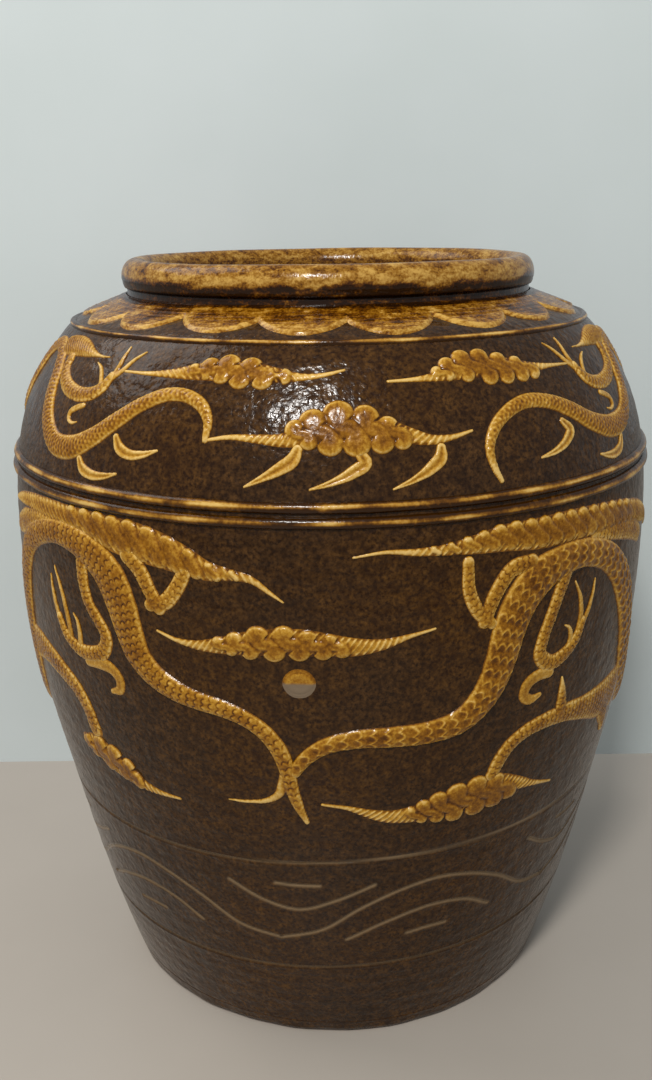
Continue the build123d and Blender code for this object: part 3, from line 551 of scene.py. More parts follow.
# A sheet of slip on the wall: its height over a fine grid is the highest of its strokes
def slip_piece(node, strokes, cell=CELL, contrast=1.0, material=SLIP, extra=None, name=None):
    theta, m, half = (np.concatenate([getattr(s, key) for s in strokes]) for key in ("theta", "m", "half"))
    r = radius_of(m.mean())
    margin = 5.0
    t0, m0 = (theta - (half + margin) / r).min(), (m - half - margin).min()
    columns = int(((theta + (half + margin) / r).max() - t0) * r / cell) + 2
    rows = int(((m + half + margin).max() - m0) / cell) + 2
    mask = np.zeros((rows, columns), bool)
    col, row = ((theta - t0) * r / cell).astype(int), ((m - m0) / cell).astype(int)
    span = ((half * 1.1 + 3.2) / cell).astype(int) + 2
    for c, w, k in zip(col, row, span):
        mask[max(w - k, 0):w + k + 1, max(c - k, 0):c + k + 1] = True
    rr, cc = np.nonzero(mask)
    pt, pm = t0 + cc * cell / r, m0 + rr * cell
    h = np.full(len(pt), -SINK)
    for height in [s.height for s in strokes] + ([extra] if extra else []):
        h = np.maximum(h, height(pt, pm))
    grid = np.full((rows, columns), -SINK)
    grid[rr, cc] = h
    relief = h - blur(np.maximum(grid, -0.4), 2.0 / cell)[rr, cc]
    tone = 0.4 + contrast * (0.62 * relief + 0.34 * bell(h, 1.0, 0.65))
    number = np.full((rows, columns), -1)
    number[rr, cc] = np.arange(len(pt))
    solid = grid > -SINK + 0.02
    near = solid.copy()
    for axis in (0, 1):
        for k in (-1, 1):
            near |= np.roll(solid, k, axis)
    near &= number >= 0
    corners = [(slice(0, -1), slice(0, -1)), (slice(0, -1), slice(1, None))]
    corners += [(slice(1, None), slice(1, None)), (slice(1, None), slice(0, -1))]
    use = np.logical_and.reduce([near[c] for c in corners])
    faces = np.stack([number[c][use] for c in corners], -1)
    used, faces = np.unique(faces, return_inverse=True)
    verts = on_wall(pt[used], pm[used], h[used])
    make(node, verts, faces.reshape(-1, 4), [material], np.clip(tone[used], 0, 1), name=name)


# Coils that follow a band: each runs from the band's upper edge to its lower edge
def coils_along(base, first, last, count, side, rise):
    made = []
    for s in np.linspace(first, last, count):
        half = np.interp(s, base.s, base.half)
        width = min((last - first) / (count - 1) * 1.18, half * 1.5) / 2
        reach = 0.86 * half - width * 0.7
        points = [
            base.beside(s - side * g * 0.5 * half, side * f * reach)
            for f, g in ((1, 1), (0.35, 0.45), (-0.35, -0.45), (-1, -1))
        ]
        theta, m = np.array(points).T
        widths = width * np.array([1.0, 0.86, 0.82, 0.86])
        made.append(Stroke(theta, m, widths, np.full(4, rise), 3.6, "coil", tilt=0.9, depth=0.5))
    return made


# Coils of a cloud from a table: upper place, lower place and the coil's radius
def coils_from(table, side, band, rise, turn, fat):
    made = []
    for a0, s0, a1, s1, radius in table:
        middle, spread, radius = (s0 + s1) / 2, fat * (s0 - s1) / 2, radius * fat
        m0 = run_in(band, (middle + spread) / 1000) - radius * 0.72
        m1 = run_in(band, (middle - spread) / 1000) + radius * 0.72
        wide = radius / radius_of(m0)
        t0 = math.radians(side * (a0 + turn)) - 0.42 * wide
        t1 = math.radians(side * (a1 + turn)) + 0.42 * wide
        bend = 0.25 * wide
        theta = np.array([t0, t0 * 0.7 + t1 * 0.3 - bend, t0 * 0.3 + t1 * 0.7 + bend, t1])
        m = np.array([m0, m0 * 0.67 + m1 * 0.33, m0 * 0.33 + m1 * 0.67, m1])
        widths = radius * np.array([0.98, 0.74, 0.72, 0.92])
        made.append(Stroke(theta, m, widths, np.full(4, rise), 3.4, "coil", tilt=0.5, depth=0.45))
    return made


# The drawing, as listed. A place is an angle outward from the front in degrees, a height in thousandths
# of its band, and a width in hundredths of the stroke's.
BODY_UL = (
    (19, 410, 25), (19, 530, 40), (20.3, 610, 50), (23, 665, 55), (27, 670, 60), (31.5, 600, 65),
    (36, 480, 75), (41, 340, 85), (46, 250, 100), (51, 250, 100), (55, 360, 100), (58, 540, 95),
    (60.5, 720, 90), (64, 840, 80), (68.5, 880, 75), (73, 820, 85), (77, 620, 90), (81, 420, 95),
    (86, 280, 100), (93, 240, 100), (100, 340, 100), (106, 540, 95), (112, 740, 90), (119, 830, 85),
    (127, 760, 80), (134, 620, 75), (139, 520, 70),
)
BODY_UR = (
    (26, 100, 20), (25, 190, 30), (24.5, 310, 42), (26, 440, 50), (29, 530, 55), (33, 580, 60), (38, 560, 65),
    (43, 480, 75), (48, 370, 85), (54, 300, 100), (60, 330, 100), (64.5, 460, 100), (67.5, 630, 95),
    (71, 790, 90), (76, 870, 80), (81, 820, 85), (85, 650, 90), (89, 460, 95), (94, 310, 100),
    (100, 260, 100), (106, 340, 100), (111, 520, 95), (116, 700, 90), (122, 800, 85), (129, 760, 80),
    (135, 620, 75), (139, 520, 70),
)
UPPER_LEG = (
    (57.2, 820, 110), (56.8, 740, 120), (54.2, 660, 120), (50.5, 615, 120), (46.8, 605, 115),
    (43.8, 630, 110), (41.8, 685, 100), (40.8, 750, 70),
)
UPPER_CLAWS = (
    ((41.3, 690, 100), (40.3, 780, 90), (39.8, 870, 60), (39.4, 940, 25)),
    ((40.8, 730, 100), (38.8, 790, 80), (37, 860, 55), (34.8, 920, 20)),
    ((42.5, 650, 90), (43.3, 720, 80), (44.8, 790, 60), (46.5, 820, 20)),
)
UPPER_SPUR = (
    (45.2, 540, 80), (47, 515, 100), (48.5, 475, 90), (48.3, 432, 75), (47, 412, 50), (45.8, 425, 20),
)
UPPER_CREST = (
    (43.8, 865, 6), (46.5, 862, 14), (49.5, 872, 40), (53, 890, 80), (57, 900, 105), (62, 890, 110),
)
LICKS_UL = (
    ((35.3, 375, 60), (34.3, 310, 100), (32.3, 275, 90), (29.5, 285, 60), (27, 320, 20)),
    ((43, 190, 60), (42, 130, 100), (40, 100, 90), (37, 105, 60), (34.3, 135, 20)),
)
LICKS_UR = (
    ((40, 420, 60), (41.4, 355, 100), (40, 290, 90), (37.5, 240, 60), (34, 210, 20)),
    ((57, 215, 50), (56, 140, 95), (53.6, 105, 90), (51, 110, 60), (48.5, 135, 20)),
)
CENTRE_LICKS = (
    ((-4.8, 370, 70), (-5.4, 310, 100), (-7.5, 245, 90), (-10, 185, 50), (-12.5, 130, 15)),
    ((4.2, 345, 70), (5, 285, 100), (3.2, 225, 90), (0.3, 165, 50), (-3, 120, 15)),
    ((16.6, 350, 70), (16.4, 295, 100), (14.8, 230, 90), (12.2, 165, 50), (9, 110, 15)),
)
UPPER_SKULL = (
    (138, 530, 75), (142, 500, 115), (147, 490, 145), (151.5, 520, 125), (155, 560, 85), (158, 620, 50),
)
UPPER_JAW = ((145, 440, 75), (149, 360, 70), (153, 345, 50), (156.5, 390, 25))
UPPER_HORN = ((146, 560, 50), (143.5, 700, 40), (140.5, 800, 28), (137, 880, 12))
BODY_LL = (
    (4.6, 150, 12), (5.8, 200, 25), (6.9, 270, 35), (7.5, 330, 40), (8.6, 385, 42), (10.4, 430, 42),
    (13.2, 467, 42), (17, 492, 45), (21.3, 507, 50), (25.3, 528, 58), (28.8, 563, 68), (31.2, 610, 78),
    (32.6, 675, 88), (33.8, 745, 97), (35.8, 815, 100), (39.5, 862, 85), (44, 888, 72), (49, 893, 62),
    (54.5, 873, 66), (60, 825, 75), (64, 750, 85), (67, 640, 95), (69, 520, 100), (70.5, 400, 100),
    (74, 280, 100), (81, 220, 100), (89, 240, 100), (95.5, 330, 100), (100, 460, 100), (104.5, 600, 95),
    (110, 720, 90), (118, 780, 85), (127, 760, 75), (134, 690, 65), (139, 640, 60),
)
BODY_LR = (
    (-6.2, 315, 30), (-4.6, 355, 36), (-1.6, 395, 42), (3, 415, 48), (9, 417, 55), (15, 420, 60),
    (19.8, 440, 68), (23, 485, 76), (25, 540, 84), (26.3, 605, 90), (27.3, 670, 95), (29, 740, 100),
    (32.2, 800, 100), (37, 832, 82), (42.5, 838, 72), (48.5, 810, 75), (54, 745, 88), (58.5, 650, 100),
    (61.8, 540, 100), (64.5, 420, 100), (69, 300, 100), (76, 220, 100), (85, 210, 100), (92.5, 280, 100),
    (98, 400, 100), (102.5, 540, 95), (108, 670, 90), (116, 750, 85), (126, 750, 75), (134, 690, 65),
    (139, 640, 60),
)
# The thin end of the lower left tail, drawn out to the side
TAIL_LL = ((7.4, 340, 30), (8, 280, 27), (9.2, 235, 20), (11.2, 215, 14), (14, 207, 9), (17.5, 205, 4))
CREST_LL = (
    (7, 800, 5), (9, 825, 12), (11.5, 855, 20), (14.5, 865, 30), (18, 870, 50), (22, 893, 75),
    (26.5, 913, 93), (31, 925, 97), (35.5, 932, 88), (40, 945, 68), (46, 956, 47), (53, 956, 40),
    (59, 950, 30), (64, 940, 15),
)
CREST_LR = (
    (3, 915, 5), (7.5, 925, 10), (12.5, 920, 20), (17, 920, 30), (21.5, 925, 50), (26, 930, 68),
    (32, 925, 80), (39, 924, 84), (46, 919, 80), (52, 911, 74), (58, 897, 66), (63, 880, 50),
)
# Where the crest widens towards the body, and the slip that fills the gap between them
ROOT_LL = ((42.5, 945, 62), (47, 950, 62), (53, 950, 58), (59, 945, 50), (64, 935, 40), (69, 920, 20))
UNDER_LL = ((48, 918, 30), (53, 910, 50), (58, 895, 70), (63, 870, 80), (68, 840, 60))
ROOT_LR = ((56, 900, 70), (61, 885, 75), (66, 860, 70), (71, 830, 50), (75, 790, 30))
UNDER_LR = ((45, 878, 25), (49, 872, 50), (54, 862, 70), (59, 845, 80), (65, 800, 60))
KNEES_LL = (
    ((31.8, 885, 100), (29.6, 850, 95), (28, 800, 90), (26.4, 755, 80)),
    ((28, 758, 70), (25.6, 770, 85), (23.4, 810, 85), (21.8, 860, 80)),
)
KNEES_LR = (
    ((31, 850, 100), (27.6, 845, 95), (24.8, 790, 90), (22.9, 715, 80)),
    ((24.2, 705, 60), (22, 740, 75), (20.3, 800, 75), (20, 880, 65)),
)
LEG_LL = (
    (42, 850, 100), (42, 780, 95), (41, 720, 90), (39, 675, 90), (37.6, 635, 95), (38.6, 590, 100),
    (42, 565, 100), (46, 568, 95), (49, 600, 80), (50.2, 640, 60),
)
LEG_LR = (
    (38.5, 800, 100), (37, 745, 95), (35.5, 685, 90), (34.2, 630, 90), (33.8, 580, 95), (36, 548, 100),
    (39.5, 560, 95), (42.3, 600, 80), (43.4, 640, 60),
)
CLAWS_LL = (
    ((49.9, 612, 100), (50.9, 660, 90), (51.6, 710, 60), (51.8, 760, 20)),
    ((47, 575, 100), (47.5, 650, 90), (48.5, 720, 70), (50.2, 790, 20)),
    ((44.6, 575, 100), (44.4, 620, 80), (44.8, 655, 50), (45.6, 670, 20)),
)
CLAWS_LR = (
    ((43, 620, 100), (44.8, 665, 80), (45.8, 710, 50), (46.2, 750, 20)),
    ((41.8, 590, 100), (42.8, 650, 90), (42.4, 710, 70), (40.8, 765, 20)),
    ((40.2, 570, 100), (40.6, 605, 80), (40, 635, 50), (39, 645, 20)),
)
SPUR_LL = (
    (43, 537, 80), (40, 545, 100), (37.2, 540, 100), (35.7, 513, 90), (36, 483, 80), (37.8, 470, 40),
)
SPUR_LR = (
    (36.4, 517, 80), (33.8, 520, 100), (31.6, 500, 100), (31.2, 470, 90), (32.6, 452, 80), (34.6, 458, 40),
)
HIND_LL = (
    ((67, 470, 220), (62, 485, 190), (57, 478, 160), (52, 455, 135), (48, 420, 120), (45.8, 370, 110),
     (44.8, 310, 110)),
)
HIND_LR = (
    ((62, 320, 280), (55, 325, 240), (48.5, 343, 160), (42, 362, 115), (37, 365, 100), (32.5, 352, 90),
     (29.5, 322, 90), (27.8, 280, 90), (26.8, 240, 80)),
    ((40.5, 370, 100), (40.3, 410, 80), (40, 450, 50), (39.6, 485, 15)),
    ((56, 320, 180), (58, 270, 160), (59.5, 225, 110), (60, 190, 50)),
)
LOWER_SKULL = (
    (137.5, 645, 70), (141, 620, 105), (146, 610, 130), (150.5, 625, 115), (154.5, 655, 80), (158, 695, 45),
)
LOWER_JAW = ((144.5, 565, 70), (148.5, 500, 65), (153, 485, 50), (156.5, 515, 25))
LOWER_HORN = ((144.5, 650, 45), (142, 730, 36), (138.5, 790, 24), (134.5, 840, 10))
# The line of each cloud
CLOUD_UL = (
    (38, 790, 6), (32.5, 790, 14), (27.5, 800, 35), (22.5, 820, 75), (17.5, 830, 95), (12.5, 825, 90),
    (8.5, 810, 60), (4.5, 800, 25), (0.5, 815, 12), (-2.5, 840, 5),
)
CLOUD_UR = (
    (9.5, 765, 6), (14, 770, 14), (18, 780, 35), (21.5, 800, 70), (25, 815, 90), (29.5, 815, 90),
    (33.5, 800, 75), (37.5, 785, 40), (42, 778, 15), (47.5, 770, 5),
)
CLOUD_UC = (
    (-19, 410, 5), (-15, 435, 10), (-11, 430, 20), (-7, 425, 35), (-3.5, 460, 75), (0.5, 485, 95),
    (4.5, 485, 95), (8.5, 465, 80), (12, 435, 45), (15, 405, 25), (18.5, 410, 12), (22, 440, 4),
)
CLOUD_LC = (
    (-27, 690, 5), (-23.5, 672, 12), (-20, 667, 30), (-16, 675, 60), (-12, 686, 90), (-8, 693, 100),
    (-4, 693, 100), (0, 685, 80), (4, 680, 55), (7.5, 685, 30), (11, 700, 12), (15, 715, 4),
)
CLOUD_LL = (
    (49, 250, 40), (46, 250, 80), (42.5, 232, 100), (39, 210, 80), (35.5, 185, 40), (31.5, 172, 15),
    (27, 170, 5),
)
CLOUD_LR = (
    (-2, 210, 5), (2, 197, 10), (5.5, 175, 25), (9, 158, 40), (13, 158, 60), (17, 168, 85), (21, 180, 100),
    (25, 192, 100), (29, 192, 90), (32.5, 180, 50), (37, 155, 15), (42, 130, 5),
)
CLOUD_BACK = (
    (-16, 200, 5), (-12, 190, 12), (-8, 185, 35), (-4, 190, 80), (0, 195, 100), (4, 190, 80), (8, 185, 35),
    (12, 190, 12), (16, 200, 5),
)
# The coils of each cloud: upper angle and height, lower angle and height, radius in mm
COILS_UL = (
    (22.6, 855, 21.6, 780, 6), (19.6, 890, 19, 765, 8.5), (16.2, 910, 15.8, 740, 9.5),
    (12.2, 895, 12, 740, 9.5), (8.8, 840, 8.2, 765, 7),
)
COILS_UR = (
    (18.6, 830, 19.6, 755, 5), (20.9, 875, 22.8, 745, 7), (24.1, 910, 26.9, 720, 8.5),
    (27.7, 910, 30.3, 715, 8.5), (31.3, 880, 33.8, 715, 8), (34.7, 850, 36.8, 720, 6.5),
)
COILS_UC = (
    (-4.4, 530, -3.9, 380, 8), (-1.5, 585, -1, 350, 11), (2.4, 630, 2.8, 345, 12), (6.3, 605, 6.7, 355, 10.5),
    (9.4, 540, 10, 370, 8.5),
)
COILS_LC = (
    (-16.3, 694, -15.5, 651, 6.5), (-13.6, 708, -12.8, 646, 8.5), (-10, 727, -9.4, 645, 10.5),
    (-6.2, 730, -5.7, 649, 10.5), (-2.8, 720, -2.2, 652, 9.5), (0.2, 712, 0.7, 656, 8),
)
COILS_LL = (
    (47.3, 262, 46.9, 218, 6), (43.5, 272, 43.5, 202, 8.5), (39.9, 262, 39.7, 190, 8),
    (36.8, 238, 36.4, 175, 6.5),
)
COILS_LR = (
    (12.9, 176, 14, 132, 4.5), (15.3, 190, 16.6, 128, 6), (18, 204, 19.6, 124, 7.5),
    (21.4, 218, 23.4, 130, 9), (25, 228, 27, 140, 9), (28.6, 224, 30.2, 150, 8),
)
COILS_BACK = (
    (-5, 238, -5.4, 155, 8), (-1.6, 255, -1.8, 145, 10), (1.9, 255, 1.7, 145, 10), (5.2, 238, 5, 155, 8),
)
# The waves, each place an angle and a height
WAVE = (
    (-30, 300), (-22, 380), (-14, 580), (-7, 700), (0, 750), (7, 700), (14, 580), (22, 380),
    (30, 300),
)
TROUGH = ((-39, 800), (-33, 660), (-26, 580), (-19, 660), (-12, 780))
CREST = ((-17, 280), (-9, 420), (0, 500), (7, 460), (13, 330))
DASH_HIGH = ((-30, 820), (-26, 805), (-22, 800))
DASH_LOW = ((-5, 270), (-1, 290), (3, 290))


# The waves and dashes of the foot band, in groups round the jar
def wave_lines():
    lines, groups, first = [], 6, 19
    for number in range(groups):
        turn = first + 360 / groups * number
        turn -= 360 if turn > 180 else 0
        for places in (WAVE, TROUGH, CREST, DASH_HIGH, DASH_LOW):
            lines.append(drawn([(a, s, 100) for a, s in places], RIGHT, WAVES, 3.6, 1.0, turn))
    return lines


# The incised lines waver a little and rise to the right, as they do on the leaning jar
def ring_sway(theta, z):
    return 0.5 * np.sin(3 * theta + z) + 0.3 * np.sin(7 * theta) + 7.0 * np.sin(theta)


# The depth and paleness of an incised ring line, with a raised lip on each side
def ring_line(theta, m, z, lip):
    gap = m - run_of(z) - ring_sway(theta, z)
    return lip * bell(np.abs(gap), 2.6, 0.8) - 1.5 * bell(gap, 0, 1.15), 0.8 * bell(gap, 0.6, 1.2)


def seam_relief(theta, m):
    return ring_line(theta, m, WAVE_HIGH, 0)


def groove_relief(theta, m):
    h, thin = np.zeros(len(m)), np.zeros(len(m))
    for z in WAVES:
        depth, pale = ring_line(theta, m, z, 0.25)
        h += depth
        thin = np.maximum(thin, pale)
    for line in wave_lines():
        for shift in (0, 2 * math.pi, -2 * math.pi):
            near = np.nonzero(
                (theta > line.theta.min() + shift - 0.03) & (theta < line.theta.max() + shift + 0.03)
                & (m > line.m.min() - 15) & (m < line.m.max() + 15)
            )[0]
            if len(near):
                gap = np.sqrt(line.nearest(theta[near] - shift, m[near] - ring_sway(theta[near], 0))[0])
                h[near] += 0.3 * bell(gap, 2.6, 0.8) - 1.45 * bell(gap, 0, 1.2)
                thin[near] = np.maximum(thin[near], 0.78 * bell(gap, 0.5, 1.3))
    return h, thin


# The base: bare clay below with a chipped edge, brown glaze outside and honey glaze inside
def base_piece():
    columns = 480
    outside, bare, inside = 0, 1, 2
    theta = ring_angles(columns)
    chips = 0.9 * np.sin(5 * theta + 1) * np.sin(11 * theta)
    chips += 0.7 * np.sin(23 * theta + 2) * np.sin(7 * theta)
    rows = [around(theta, r, z) for r, z in ((3, 0.6), (70, 0.6), (150, 0.4), (205, 0.0), (211.5, 0.0))]
    for z in (1.5, 3.2, 5, 7, 9.5, 12, 14, BASE_TOP):
        edge = chips * (1 - z / BASE_TOP) - (2.6 if z < 2 else 0.8 if z < 4 else 0)
        rows.append(on_wall(theta, np.full(columns, run_of(z)), np.minimum(edge, 0.6)))
    rows += [around(theta, r, BASE_TOP) for r in (200, 120, 3)]
    kinds = np.array([bare] * 6 + [outside] * 6 + [inside] * 3 + [bare]).repeat(columns)
    verts = np.concatenate(rows)
    thin = np.zeros(len(verts))
    faces = ring_faces(len(rows), columns)
    make("base_slab", verts, faces, [BROWN, CLAY, GOLD], thin + 0.2, thin, kinds)


# A ring turned from a profile of radius, height and outward direction, with each row pushed outward
def lathe_piece(node, profile, columns, shift, tone, material):
    theta = ring_angles(columns)
    rows, tones = [], []
    for k, (r, z, out_r, out_z) in enumerate(profile):
        push = shift(theta, k)
        rows.append(around(theta, r + out_r * push, z + out_z * push))
        tones.append(tone(theta, k))
    faces = ring_faces(len(profile), columns)
    make(node, np.concatenate(rows), faces, [material], np.clip(np.concatenate(tones), 0, 1))


def rim_piece():
    reach, half = (RIM_R - MOUTH_R) / 2, (TOP_Z - NECK_Z) / 2
    centre_r, centre_z = RIM_R - reach, TOP_Z - half
    start = math.asin((NECK_TOP - centre_z) / half)
    angles = np.linspace(start, math.pi - start, 44)
    profile = []
    for a in angles:
        out_r, out_z = math.cos(a) / reach, math.sin(a) / half
        size = math.hypot(out_r, out_z)
        place = (centre_r + reach * math.cos(a), centre_z + half * math.sin(a))
        profile.append((*place, out_r / size, out_z / size))

    def shift(theta, k):
        a = angles[k]
        lip = -0.35 * bell(a, -0.28 - 0.06 * np.sin(5 * theta), 0.07)
        hand = 0.25 * np.sin(3 * theta + 1) + 0.15 * np.sin(8 * theta + 2 * a)
        return lip + hand * fade(math.sin(a), -0.5, 0.2) - 0.35

    def tone(theta, k):
        a = angles[k]
        edge = -0.02 + 0.16 * np.sin(4 * theta + 0.6) * np.sin(9 * theta) + 0.08 * np.sin(23 * theta)
        spots = 0.35 * bell(theta, -0.72, 0.08) * bell(a, -0.1, 0.2)
        # Dark below a wavy edge on the roll's underside: partly dark glaze, partly painted shade under the
        # roll. Towards the mouth the inner side is painted darker, painted shade.
        out = -0.25 + 0.8 * fade(a - edge, -0.3, 0.16) + 0.14 * bell(a, 0.35, 0.4)
        return out - spots - 0.1 * fade(a, 2.2, 3.0)
    lathe_piece("rim_roll", profile, 720, shift, tone, GOLD)


def neck_piece():
    low = NECK_Z - WALL
    outer = ((-0.2, low), (0, NECK_Z - 2), (-0.5, NECK_Z + 1.5), (-0.9, NECK_Z + 4), (-0.4, NECK_TOP))
    profile = [(NECK_R + r, z, 1, 0) for r, z in outer]
    profile += [(MOUTH_R + 0.6, z, -1, 0) for z in np.linspace(NECK_TOP, low, 7)]

    def shift(theta, k):
        return 0.1 * np.sin(6 * theta + k)

    def tone(theta, k):
        # The outside of the neck is dark: partly dark glaze, partly painted shade under the rim
        return np.full(theta.shape, -0.15 if k < len(outer) else 0.5)
    lathe_piece("neck_ring", profile, 480, shift, tone, GOLD)


# A round bead of slip, pale where its glaze is thin: along the angle lean, in patches
def ridge_piece(node, height, radius, sink, lean, strength):
    m = run_of(height)
    centre, radius = radius_of(m) - sink, radius - 0.15
    angles = np.linspace(0, 2 * math.pi, 18, endpoint=False)
    outward = [(math.cos(a), math.sin(a)) for a in angles]
    profile = [(centre + radius * x, height + radius * z, x, z) for x, z in outward]

    def shift(theta, k):
        return uneven(theta, m) * outward[k][0] + 0.18 * np.sin(9 * theta + height) * np.sin(23 * theta)

    def tone(theta, k):
        a = (angles[k] + math.pi) % (2 * math.pi) - math.pi
        patch = 0.5 + 0.3 * np.sin(5 * theta + height) * np.sin(13 * theta + 1)
        patch += 0.2 * np.sin(37 * theta + height)
        wave = lean + 0.1 * np.sin(4 * theta + height) + 0.06 * np.sin(17 * theta)
        return strength * bell(a, wave, 0.4) * (0.28 + 0.95 * patch)
    lathe_piece(node, profile, 900, shift, tone, LINE_SLIP)


# The collar of petals round the neck, its height over the wall from its scalloped edge
def collar_piece():
    count, reach, radius, band = 19, 9.4, 219.0, 13.5
    columns, rows = 1400, 40
    high = run_of(NECK_Z)
    theta, m = ring_grid(columns, np.linspace(run_of(LINE_Z - 3), high, rows))
    r = radius_of(m)
    pitch = 2 * math.pi / count
    turned = theta - math.radians(-5.5) + pitch / 2
    number = np.floor(turned / pitch)
    local = turned % pitch - pitch / 2 + 0.012 * np.sin(number * 2.4)
    centre = radius - 3 * reach + 1.6 * np.sin(number * 1.7)
    gap = 4 * reach - np.hypot(r * np.sin(local), r * np.cos(local) - centre)
    gap = np.maximum(gap, radius - band - r)
    brushed = 0.16 * np.sin(m * 1.9 + 2.2 * np.sin(theta * 3))
    brushed += 0.12 * np.sin(m * 3.1 + 5 * np.sin(theta * 2) + number)
    h = 2.2 * fade(gap, -0.4, 3.2) - SINK * (1 - fade(gap, -2.4, -0.2))
    h += brushed * fade(gap, 1, 4) + 0.3 * bell(gap, 2.2, 1.2)
    h *= 0.7 + 0.3 * fade(high - m, 0, 6)
    tone = 0.5 + 0.34 * bell(gap, 2.0, 1.5) + 0.5 * brushed - 0.12 * fade(gap, 5, 16)
    tone += 0.14 * np.sin(number * 3.3)
    # Darker towards the neck: partly dark glaze, partly painted shadow of the rim
    tone -= 0.75 * fade(m - high + 6 + 1.2 * np.sin(5 * theta) + 0.8 * np.sin(17 * theta), -2.5, 2.5)
    faces = ring_faces(rows, columns, False)
    used, faces = np.unique(faces[(gap[faces] > -2.6).all(1)], return_inverse=True)
    verts = on_wall(theta, m, h)[used]
    make("petal_collar", verts, faces.reshape(-1, 4), [COLLAR], np.clip(tone, 0, 1)[used])


# The pot
base_piece()
wall_piece("lower_wall", BASE_TOP, WAVE_HIGH, groove_relief, 1440, 1.15)
wall_piece("belly_wall", WAVE_HIGH, BELLY_SEAM, seam_relief)
wall_piece("upper_belly_wall", BELLY_SEAM, BELT_Z)
wall_piece("shoulder_wall", BELT_Z, SHOULDER_SEAM)
wall_piece("upper_shoulder_wall", SHOULDER_SEAM, LINE_Z)
wall_piece("collar_wall", LINE_Z, NECK_Z)
neck_piece()
rim_piece()
ridge_piece("belt_ridge_lower", BELT_Z - RIDGE_GAP / 2, RIDGE_R, 0.6, 0.15, 0.85)
ridge_piece("belt_ridge_upper", BELT_Z + RIDGE_GAP / 2, RIDGE_R, 0.6, 0.45, 0.95)
ridge_piece("shoulder_line", LINE_Z, 3.2, 0.8, 0.6, 1.0)
collar_piece()


# Brow, eye, nostril, whiskers, mane and teeth of a head, in degrees and shares of its height from its middle
def head_trim(side, band, middle, tall):
    def line(places, width, rise, **detail):
        rows = [(HEAD_ANGLE + a, middle + tall * b, w) for a, b, w in places]
        return drawn(rows, side, band, width, rise, **detail)
    trim = [
        line(((-3.6, 0.42, 50), (-2.2, 0.62, 100), (-0.4, 0.5, 100), (0.8, 0.2, 40)), 4.2, 7.2, power=2.0),
        line(((-1.9, 0.1, 100), (-1.2, 0.12, 100), (-0.5, 0.1, 100)), 5.4, 7.6, power=2.0),
        line(((5.0, 0.5, 80), (5.9, 0.65, 100), (6.8, 0.6, 60)), 4.0, 6.2, power=2.0),
        line(((6.5, 0.35, 80), (9.5, 0.9, 80), (10.5, 1.7, 60), (8.5, 2.4, 40), (6.0, 2.2, 15)), 3.4, 3.4),
        line(((4.5, -1.5, 80), (7.5, -1.9, 80), (10, -1.4, 60), (10.8, -0.6, 35), (9.8, -0.1, 15)), 3.4, 3.4),
    ]
    for low in (-1.6, -0.85, -0.1, 0.65, 1.4):
        strand = ((-8.5, 0.35 * low, 90), (-11.5, 0.75 * low, 100), (-14.5, 1.3 * low + 0.5, 80))
        strand += ((-17.5, 1.5 * low, 20),)
        trim.append(line(strand, 5.5, 4.2, kind="hollow", depth=0.5, power=4.0))
    for a in (0.8, 2.3, 3.8, 5.3):
        trim.append(line(((a, -0.75, 100), (a + 0.2, -0.98, 80), (a + 0.3, -1.2, 30)), 2.6, 4.4))
    return trim


def strokes_of(paths, side, band, width, rise, **detail):
    return [drawn(path, side, band, width, rise, **detail) for path in paths]


def dragon_piece(name, part, strokes, cell=CELL, contrast=1.0):
    slip_piece(f"{name}_dragon_{part}", strokes, cell, contrast, name=f"{name}_{part}_piece")


# The dragons
for side, name, body, licks, turn in (
    (LEFT, "upper_left", BODY_UL, LICKS_UL, 0),
    (RIGHT, "upper_right", BODY_UR, LICKS_UR, 8.5),
):
    dragon_piece(name, "body", [drawn(body, side, UPPER, 21, 4.5, kind="ribs", power=2.6)])
    dragon_piece(name, "crest", [combed(UPPER_CREST, side, UPPER, 20, 4.6, 0.9, 4.4, turn)])
    dragon_piece(name, "leg", [drawn(UPPER_LEG, side, UPPER, 12, 3.6, turn, kind="scales", size=4.6)])
    strokes = strokes_of(UPPER_CLAWS, side, UPPER, 6, 2.4, turn=turn, kind="hollow", depth=0.35)
    dragon_piece(name, "claws", strokes, FINE_CELL, CLAW_CONTRAST)
    strokes = [drawn(UPPER_SPUR, side, UPPER, 6, 2.4, turn, kind="hollow", depth=0.4)]
    dragon_piece(name, "spur", strokes, FINE_CELL, CLAW_CONTRAST)
    strokes = strokes_of(licks, side, UPPER, 10, 2.4, kind="hollow", depth=0.9, power=4.0)
    slip_piece(name + "_licks", strokes, FINE_CELL, LICK_CONTRAST)
    strokes = strokes_of((UPPER_SKULL, UPPER_JAW, UPPER_HORN), side, UPPER, 21, 4.5)
    dragon_piece(name, "head", strokes + head_trim(side, UPPER, 520, 144), FINE_CELL)

